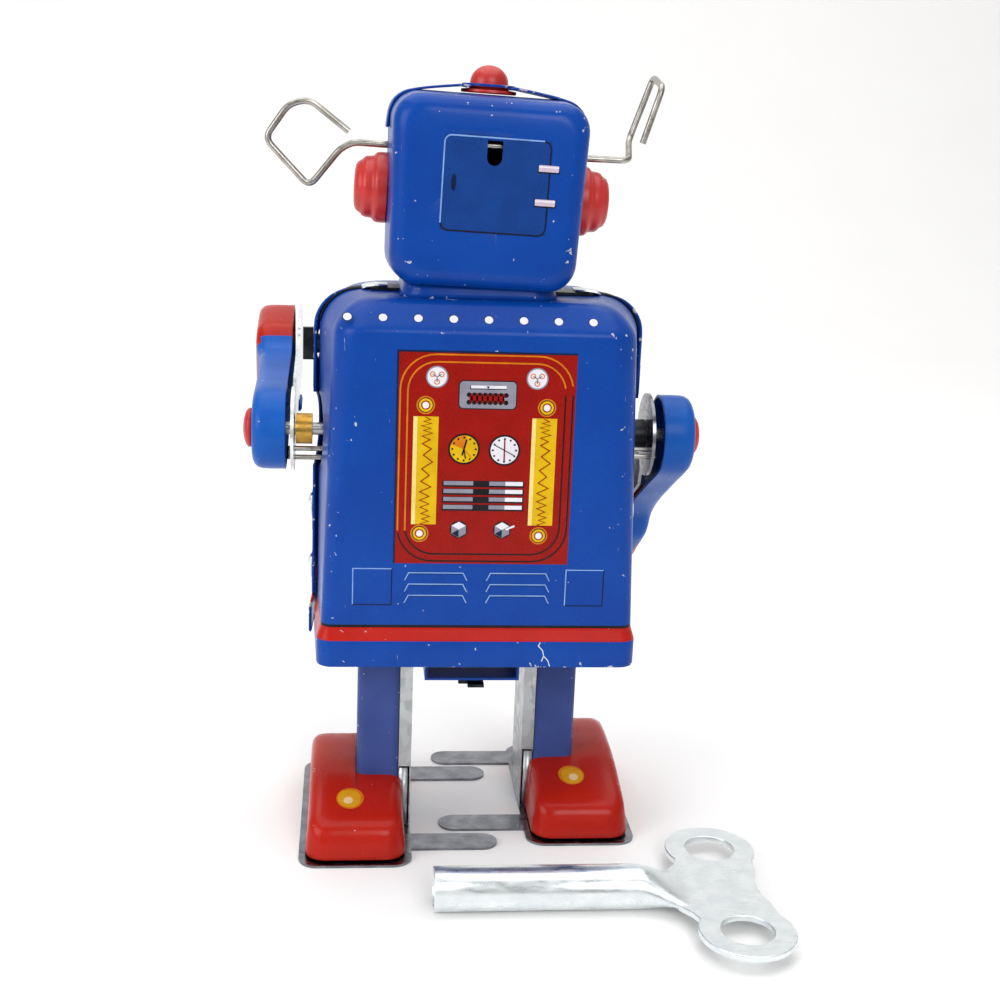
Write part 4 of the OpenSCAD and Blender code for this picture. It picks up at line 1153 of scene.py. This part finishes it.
def seam_shade_bands(side, label):
    """Dark bands of painted shade beside the seam, clear of the shoulder's opening."""
    points, faces = [], []
    # Each dark blue band is painted shade on the side wall beside the seam.
    for low, high in ((71.0, 75.7), (48.2, 54.8), (37.8, 44.6)):
        start = len(points)
        points += [(side * (25.54 - 0.135 * (0.9 - y)), y, z)
                   for z in (low, high) for y in (0.9, -2.4)]
        faces.append((start, start + 1, start + 3, start + 2))
    bands = mesh_piece(f"{label}_seam_shade_bands", points, faces, [DARK_BLUE], facing=(side, 0, 0),
                       merge=False)
    ride(bands, "frame", "tin_blue")


def seam_tabs(side, label):
    """Bright folded tabs that hold the covers together down the side and on the shoulder."""
    rows = rounded_path([(25.3, -0.2, 0), (26.15, -0.3, 0), (26.4, -1.6, 0), (25.9, -2.8, 0)], 0.7)
    for index, z in enumerate((41.2, 51.4)):
        points = []
        for place in rows:
            for high in (-2.1, -1.9, -1.0, 0, 1.0, 1.9, 2.1):
                sink = 0.35 * (abs(high) / 2.1) ** 4
                points.append((side * (place.x - sink), place.y, z + high))
        tab = mesh_piece(f"{label}_seam_tab_{index + 1}", points, grid_faces(len(rows), 7, False),
                         [NICKEL], hub=(side * 24, -1.2, z))
        ride(thicken(tab, 0.25), "frame", "bare_steel")
    points = []
    for x, z in ((14.4, 0.75), (16.2, 0.8), (17.6, 0.6), (18.3, 0.3)):
        points += [(side * x, y, BODY_TOP + z) for y in (-1.2, 0.2, 1.8, 3.0)]
    tab = mesh_piece(f"{label}_top_tab", points, grid_faces(4, 4, False), [NICKEL], facing=(0, 0, 1))
    ride(thicken(tab, 0.25), "frame", "bare_steel")


def neck_collar():
    """Blue collar that the body's top rises into under the head."""
    points = []
    levels = [(0.02, 11.9), (0.7, 11.6), (1.3, 11.4), (2.2, 11.4)]
    for rise, half in levels:
        loop = rounded_loop(-half, half, -9.0, 11.2 - 0.2 * rise, 4, 6, 3)
        points += [(x + 0.9, y, BODY_TOP + rise) for x, y in loop]
    count = len(points) // len(levels)
    collar = mesh_piece("neck_collar", points, grid_faces(len(levels), count, True), [BLUE],
                        hub=(0, SEAM_Y, 87))
    ride(thicken(collar, 0.3), "frame", "tin_blue")


class ROBOT_OT_printing(bpy.types.Operator):
    """Prints the panels, dials, louvres and dots on the covers and the head"""

    bl_idname = "tin_robot.printing"
    bl_label = "Printing"

    def execute(self, context):
        for make in (rear_panel, rear_outlines, front_panel, hatch_print, face_print):
            ride(make(), "frame", "tin_blue")
        self.dots(context.scene.tin_robot.band_dots)
        self.slats()
        self.louvres()
        return {"FINISHED"}

    def dots(self, count):
        """White dots along the sloping band, at the back and in front."""
        for side, label in ((1, "rear"), (-1, "front")):
            normal = Vector((0, 0.778, 0.628))
            along = Vector((0, -0.628, 0.778))
            for ring_radius, finish, lift, part in ((0.74, DARK_BLUE, 0.03, "shadow"),
                                                    (0.62, WHITE, 0.07, "dot")):
                points = []
                for i in range(20):
                    turn = 2 * math.pi * i / 20
                    p = along * (ring_radius * math.sin(turn)) + normal * lift
                    points.append((ring_radius * math.cos(turn), side * p.y, p.z))
                top = normal * (lift + 0.05)
                points.append((0, side * top.y, top.z))
                faces = [(i, (i + 1) % 20, 20) for i in range(20)]
                spot = mesh_piece(f"{label}_band_{part}", points, faces, [finish], facing=(0, side, 1),
                                  merge=False)
                band_y = 14.66 if part == "dot" else 14.6
                repeat(spot, count, (20.4, SEAM_Y + side * (band_y - SEAM_Y), 84.12), (-5.12, 0, 0), finish)
                ride(spot, "frame", "tin_blue")

    def slats(self):
        """Grey slats of the rear panel's shutter and the bars of the front grille and mouth."""
        for label, left, right, finish, level in (
                ("slat_shadow", -6.1, 6.1, BLACK, 3), ("slat_left", 1.5, 5.9, GREY, 4),
                ("slat_right", -5.9, -0.9, GREY, 4), ("slat_light", -5.9, -3.3, WHITE, 5)):
            wide, shift = 0.62 if level > 3 else 0.95, 0.0 if level > 3 else -0.1
            corners = ((left, -wide / 2), (right, -wide / 2), (right, wide / 2), (left, wide / 2))
            points = [(x, BACK_Y + 0.01 + 0.02 * level, z + shift) for x, z in corners]
            slat = mesh_piece(f"rear_{label}", points, [(0, 1, 2, 3)], [finish], facing=(0, 1, 0),
                              merge=False)
            repeat(slat, 4, (0, 0, 60.0), (0, 0, -1.22), finish)
            ride(slat, "frame", "tin_blue")
        corners = ((-8, -0.35), (8, -0.35), (8, 0.35), (-8, 0.35))
        points = [(x, 2 * SEAM_Y - BACK_Y - 0.12, z) for x, z in corners]
        bar = mesh_piece("front_grille_bars", points, [(0, 1, 2, 3)], [BLACK], facing=(0, -1, 0),
                         merge=False)
        repeat(bar, 5, (0, 0, 56.6), (0, 0, 1.2), BLACK)
        ride(bar, "frame", "tin_blue")
        corners = ((-5.2, 93.0), (-4.8, 93.0), (-4.8, 97.0), (-5.2, 97.0))
        points = [head_point(-1, x, z, 0.08) for x, z in corners]
        bar = mesh_piece("mouth_bars", points, [(0, 1, 2, 3)], [BLACK], facing=(0, -1, 0), merge=False)
        lean = bpy.context.scene.tin_robot.head_lean
        repeat(bar, 6, (0, 0, 0), (2.0 * math.cos(lean), 0, 2.0 * math.sin(lean)), BLACK)
        ride(bar, "frame", "tin_blue")

    def louvres(self):
        """Two stacks of three printed louvres, each a bright line with slanted ends over a dark line set
        lower as painted shadow.
        """
        for label, middle, half in (("left", 6.65, 4.6), ("right", -5.8, 4.7)):
            # The dark blue line, drawn 0.12 mm lower under the bright one, is painted shadow.
            for finish, level, drop in ((DARK_BLUE, 1, -0.12), (PALE, 2, 0.0)):
                sheet = Printing(lambda x, z, lift: (x, BACK_Y + 0.01 + lift, z), (0, 1, 0))
                sheet.line([(half + 0.1, -1.2 + drop), (half - 0.5, drop), (-half + 0.5, drop),
                            (-half - 0.1, -1.2 + drop)], 0.17, finish, level)
                louvre = sheet.make(f"{label}_louvres_{'bright' if level == 2 else 'dark'}")
                repeat(louvre, 3, (middle, 0, 46.0), (0, 0, -1.78), finish)
                ride(louvre, "frame", "tin_blue")


class ROBOT_OT_head(bpy.types.Operator):
    """Makes the head's two shells with the slot in its hatch"""

    bl_idname = "tin_robot.head"
    bl_label = "Head shells"

    def execute(self, context):
        sheet = context.scene.tin_robot.sheet / MM
        for name, side, node in (("rear_head_cover", 1, "head_rear_shell"),
                                 ("front_head_cover", -1, "head_front_shell")):
            stations = [(1.06, 0.0), (3.0, 0.06), (6.0, 0.18), (9.0, 0.32), (11.0, 0.42)]
            stations += [(y, inset - 10.75) for y, inset in (
                arc((11.2, 13.95), 2.75, a, a, 1)[0] for a in (-84, -70, -56, -42, -28, -16, -6))]
            stations.append((HEAD_BACK_Y, 4.6))
            points = []
            for y, inset in stations:
                radius = 4.3 - 0.3 * inset
                for x, z in rounded_loop(-14.7 + inset, 14.7 - inset, HEAD_FOOT + inset, HEAD_TOP - inset,
                                         radius, 10, 8):
                    taper = 1 - 0.6 / 14 * (HEAD_TOP - z) / 27.9
                    points.append(lean_head((x * taper, SEAM_Y + side * (y - SEAM_Y), z)))
            count = len(points) // len(stations)
            faces = grid_faces(len(stations), count, True)
            faces.append(tuple(range(len(points) - count, len(points))))
            hub = (0, SEAM_Y, 102)
            shell = thicken(mesh_piece(name, points, faces, [BLUE], hub=hub), sheet)
            if side > 0:
                cut_away(shell, [self.slot_cutter()])
            ride(shell, "frame", "tin_blue", node)
        return {"FINISHED"}

    def slot_cutter(self):
        """Cutting block with the slot's rounded foot."""
        outline = [(0.7, 109.5), (0.7, 107.1)] + arc((-0.4, 107.1), 1.1, 0, -180, 12)[1:] + [(-1.5, 109.5)]
        points = [lean_head((x, y, z)) for y in (11.0, 16.0) for x, z in outline]
        count = len(outline)
        faces = grid_faces(2, count, True) + [tuple(range(count)), tuple(range(count, 2 * count))]
        return mesh_piece("slot_cutter", points, faces, [INSIDE_DARK])


class ROBOT_OT_fittings(bpy.types.Operator):
    """Makes the lamp, strap, ears and bent aerials on the head"""

    bl_idname = "tin_robot.fittings"
    bl_label = "Head fittings"

    def execute(self, context):
        self.lamp()
        self.strap()
        self.ears()
        self.aerial()
        return {"FINISHED"}

    def lamp(self):
        profile = [(4.0, 0.12), (4.15, 0.3), (4.1, 0.62), (3.0, 0.75), (2.85, 1.0), (2.85, 1.6)]
        profile += [(2.85 * math.cos(math.radians(a)), 1.6 + 2.6 * math.sin(math.radians(a)))
                    for a in (12, 24, 36, 48, 60, 72, 82)]
        profile.append((0.02, 4.2))
        points, faces = lathe(profile, lambda u, v, d: lean_head((u, SEAM_Y + v, HEAD_TOP + d)), 48)
        lamp = mesh_piece("lamp_dome", points, faces, [PLASTIC], hub=(0, SEAM_Y, HEAD_TOP + 1))
        ride(lamp, "frame", "plastic_red", "head_lamp")

    def strap(self):
        half = [(2.9, 1.15), (3.8, 1.3), (6.5, 0.95), (10.0, 0.42), (12.6, -0.25), (14.1, -1.5),
                (14.75, -3.2), (14.95, -5.6)]
        for side, label in ((1, "left"), (-1, "right")):
            path = rounded_path([(side * x, 0, z) for x, z in half], 1.2, 4)
            points = []
            for p in path:
                for y in (-3.9, -3.5, -1.2, 1.2, 3.5, 3.9):
                    edge = 0.1 if abs(y) > 3.6 else 0.0
                    points.append(lean_head((p.x, SEAM_Y + y, HEAD_TOP + p.z - edge)))
            faces = grid_faces(len(path), 6, False)
            strap = mesh_piece(f"{label}_strap_spring", points, faces, [BLUE], facing=(side * 0.2, 0, 1))
            thicken(strap, 0.3)
            nodes = ["head_strap"] if side > 0 else []
            ride(strap, "frame", "bare_steel", *nodes)
        ring = [(4.0, 1.1), (4.0, 1.42), (3.0, 1.5), (2.9, 1.15)]
        points, faces = lathe(ring, lambda u, v, d: lean_head((u, SEAM_Y + v, HEAD_TOP + d)), 40)
        collar = mesh_piece("strap_collar", points, faces[:-2], [BLUE], hub=(0, SEAM_Y, HEAD_TOP))
        ride(collar, "frame", "bare_steel")

    def ears(self):
        profile = [(4.9, 0.0), (5.2, 0.25), (5.2, 1.4), (5.1, 1.85), (4.85, 2.1), (4.62, 2.3), (4.55, 2.7),
                   (4.5, 3.3), (4.3, 3.75), (4.0, 3.95), (3.85, 4.2), (3.6, 4.6), (3.1, 4.9), (2.3, 5.05),
                   (1.2, 5.1), (0.02, 5.12)]
        for side, label in ((1, "left"), (-1, "right")):
            points, faces = lathe(profile, lambda u, v, d: lean_head(
                (side * (14.1 + d), SEAM_Y + u, 101.2 + v)), 56)
            hub = lean_head((side * 15, SEAM_Y, 101.2))
            ear = mesh_piece(f"{label}_ear_cup", points, faces, [PLASTIC], hub=hub)
            ride(ear, "frame", "tin_red", f"{label}_ear")

    def aerial(self):
        left = [(20.3, 1, 109.0), (26.3, 1, 113.2), (29.3, 1, 112.3), (32.6, 1, 107.2), (25.8, 1, 100.6),
                (21.5, 1, 106.4), (19.6, 1, 107.5)]
        right = [(-22.0, 1, 107.7), (-23.0, -6.2, 110.6), (-26.2, -7.4, 120.3), (-26.2, 0.6, 118.8),
                 (-23.9, 0.9, 110.4)]
        inside = [(11.5, 1, 107.5), (7.0, 12.2, 108.75), (-7.0, 12.2, 108.75), (-11.5, 1, 107.5)]
        path = [Vector(lean_head(p)) for p in left + inside + right]
        points, faces = sweep(rounded_path(path, 1.5, 7), round_section(0.5))
        wire = mesh_piece("bent_aerial_wire", points, faces, [WIRE])
        ride(wire, "frame", "bare_steel", "aerial_wire")


class ROBOT_OT_arms(bpy.types.Operator):
    """Makes the two pressed arms with their red buttons"""

    bl_idname = "tin_robot.arms"
    bl_label = "Arms"

    def execute(self, context):
        sizes = context.scene.tin_robot
        for label, side, angle, bend in (("left", 1, sizes.left_arm, 0.0),
                                         ("right", -1, sizes.right_arm, sizes.hand_bend / MM)):
            shell = thicken(arm_shell(f"{label}_arm_cover", side, angle, bend), sizes.sheet / MM)
            ride(shell, f"{label}_arm", "tin_blue", f"{label}_arm_shell")
            button = arm_button(f"{label}_arm_button", side, angle)
            ride(button, f"{label}_arm", "plastic_red", f"{label}_arm_cap")
            tab = thicken(arm_tab(f"{label}_arm_tab", side, angle, bend), 0.3)
            ride(tab, f"{label}_arm", "tin_blue")
        return {"FINISHED"}


class ROBOT_OT_legs(bpy.types.Operator):
    """Makes the leg covers and the pressed shoes"""

    bl_idname = "tin_robot.legs"
    bl_label = "Legs and shoes"

    def execute(self, context):
        sheet = context.scene.tin_robot.sheet / MM
        for label, side in (("left", 1), ("right", -1)):
            cover = thicken(leg_cover_mesh(f"{label}_leg_channel", side), sheet)
            ride(cover, f"{label}_leg", "tin_blue", f"{label}_leg_cover")
            shoe = thicken(shoe_mesh(f"{label}_shoe_cover", side), sheet)
            ride(shoe, f"{label}_leg", "tin_red", f"{label}_shoe")
            points, faces = [], []
            for y in (4.9, -7.0):
                start = len(points)
                points += [leg_point(side, x, y, z) for z in (0.45, 5.0, 10.7) for x in (9.5, 11.2)]
                faces += [(start + k, start + k + 1, start + k + 3, start + k + 2) for k in (0, 2)]
            ankle = mesh_piece(f"{label}_ankle_flanges", points, faces, [ZINC], facing=(0, 1, 0))
            ride(thicken(ankle, 0.45), f"{label}_leg", "bare_steel")
            x, y = (19.0, 10.6) if side > 0 else (17.2, 9.6)
            ride(shoe_dot(f"{label}_shoe_dot", side, x, y), f"{label}_leg", "tin_red")
        return {"FINISHED"}


class ROBOT_OT_key(bpy.types.Operator):
    """Makes the stamped winding key that lies beside the robot"""

    bl_idname = "tin_robot.key"
    bl_label = "Winding key"

    def execute(self, context):
        ride(key_tube("key_rolled_tube"), "key", "bare_steel", "winding_key")
        ride(key_bow("key_flat_bow"), "key", "bare_steel")
        return {"FINISHED"}


class ROBOT_OT_stage(bpy.types.Operator):
    """Makes the pale floor, the soft lights and the camera"""

    bl_idname = "tin_robot.stage"
    bl_label = "Stage"

    def execute(self, context):
        self.floor()
        self.lights()
        self.camera()
        return {"FINISHED"}

    def floor(self):
        tree, shader, place = start_finish("White seamless paper")
        cloud = grain(tree, place, 40.0)
        tone = add(tree, "ShaderNodeMixRGB", {
            "Fac": cloud, "Color1": linear("FAF9F8"), "Color2": linear("F6F5F4")})
        tree.links.new(tone.outputs[0], shader.inputs["Base Color"])
        shader.inputs["Roughness"].default_value = 0.75
        path = [(y, 0.0) for y in (236, 100, -200, -400)]
        path += [(-400 - 300 * math.sin(math.radians(a)), 300 - 300 * math.cos(math.radians(a)))
                 for a in range(10, 91, 10)]
        path += [(-700, 900)]
        points = [(x, y, z - 0.02) for y, z in path for x in (-1500, -500, 500, 1500)]
        floor = mesh_piece("seamless_paper", points, grid_faces(len(path), 4, False),
                           ["White seamless paper"], facing=(0, 0.5, 1))

    def lights(self):
        world = bpy.data.worlds.new("Soft white room")
        bpy.context.scene.world = world
        world.use_nodes = True
        ground = world.node_tree.nodes["Background"]
        ground.inputs["Color"].default_value = linear("F9FAFA")
        ground.inputs["Strength"].default_value = 0.42
        for name, place, size, power in (("Overhead softbox", (0.0, -0.10, 0.75), 0.9, 4.7),
                                         ("Camera left softbox", (0.50, 0.30, 0.30), 0.35, 1.6),
                                         ("Camera softbox", (-0.15, 0.60, 0.40), 0.3, 1.6)):
            light = bpy.data.lights.new(name, "AREA")
            light.size = size
            light.energy = power
            lamp = bpy.data.objects.new(name, light)
            bpy.context.scene.collection.objects.link(lamp)
            aim = Vector((0, 0, 0.06)) - Vector(place)
            lamp.matrix_world = Matrix.Translation(place) @ aim.to_track_quat("-Z", "Y").to_matrix().to_4x4()

    def camera(self):
        view = bpy.data.cameras.new("Camera")
        view.lens = 54
        view.sensor_width = 36
        eye = bpy.data.objects.new("Camera", view)
        bpy.context.scene.collection.objects.link(eye)
        turn, down, roll = (math.radians(a) for a in (6, 14.9, 2.3))
        ahead = Vector((-math.sin(turn) * math.cos(down), -math.cos(turn) * math.cos(down), -math.sin(down)))
        right = ahead.cross(Vector((0, 0, 1))).normalized()
        up = right.cross(ahead)
        x_axis = right * math.cos(roll) + up * math.sin(roll)
        y_axis = up * math.cos(roll) - right * math.sin(roll)
        eye.matrix_world = Matrix.Translation((0.020, 0.231, 0.115)) @ Matrix(
            (x_axis, y_axis, -ahead)).transposed().to_4x4()
        bpy.context.scene.camera = eye
        bpy.context.scene.view_settings.view_transform = "Standard"


STEPS = (ROBOT_OT_finishes, ROBOT_OT_body, ROBOT_OT_head, ROBOT_OT_printing, ROBOT_OT_fittings,
         ROBOT_OT_arms, ROBOT_OT_legs, ROBOT_OT_key, ROBOT_OT_stage)


class ROBOT_PT_panel(bpy.types.Panel):
    """Lists the steps and sizes of the robot"""

    bl_idname = "ROBOT_PT_panel"
    bl_label = "Tin Robot"
    bl_space_type = "VIEW_3D"
    bl_region_type = "UI"
    bl_category = "Tin Robot"

    def draw(self, context):
        sizes = context.scene.tin_robot
        for name in RobotSizes.__annotations__:
            self.layout.prop(sizes, name)
        for step in STEPS:
            self.layout.operator(step.bl_idname)


CLASSES = (RobotSizes, *STEPS, ROBOT_PT_panel)


def register():
    for item in CLASSES:
        bpy.utils.register_class(item)
    bpy.types.Scene.tin_robot = PointerProperty(type=RobotSizes)


def unregister():
    del bpy.types.Scene.tin_robot
    for item in reversed(CLASSES):
        bpy.utils.unregister_class(item)


def main():
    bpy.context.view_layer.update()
    register()
    for step in STEPS:
        group, name = step.bl_idname.split(".")
        getattr(getattr(bpy.ops, group), name)()


if __name__ == "__main__":
    main()
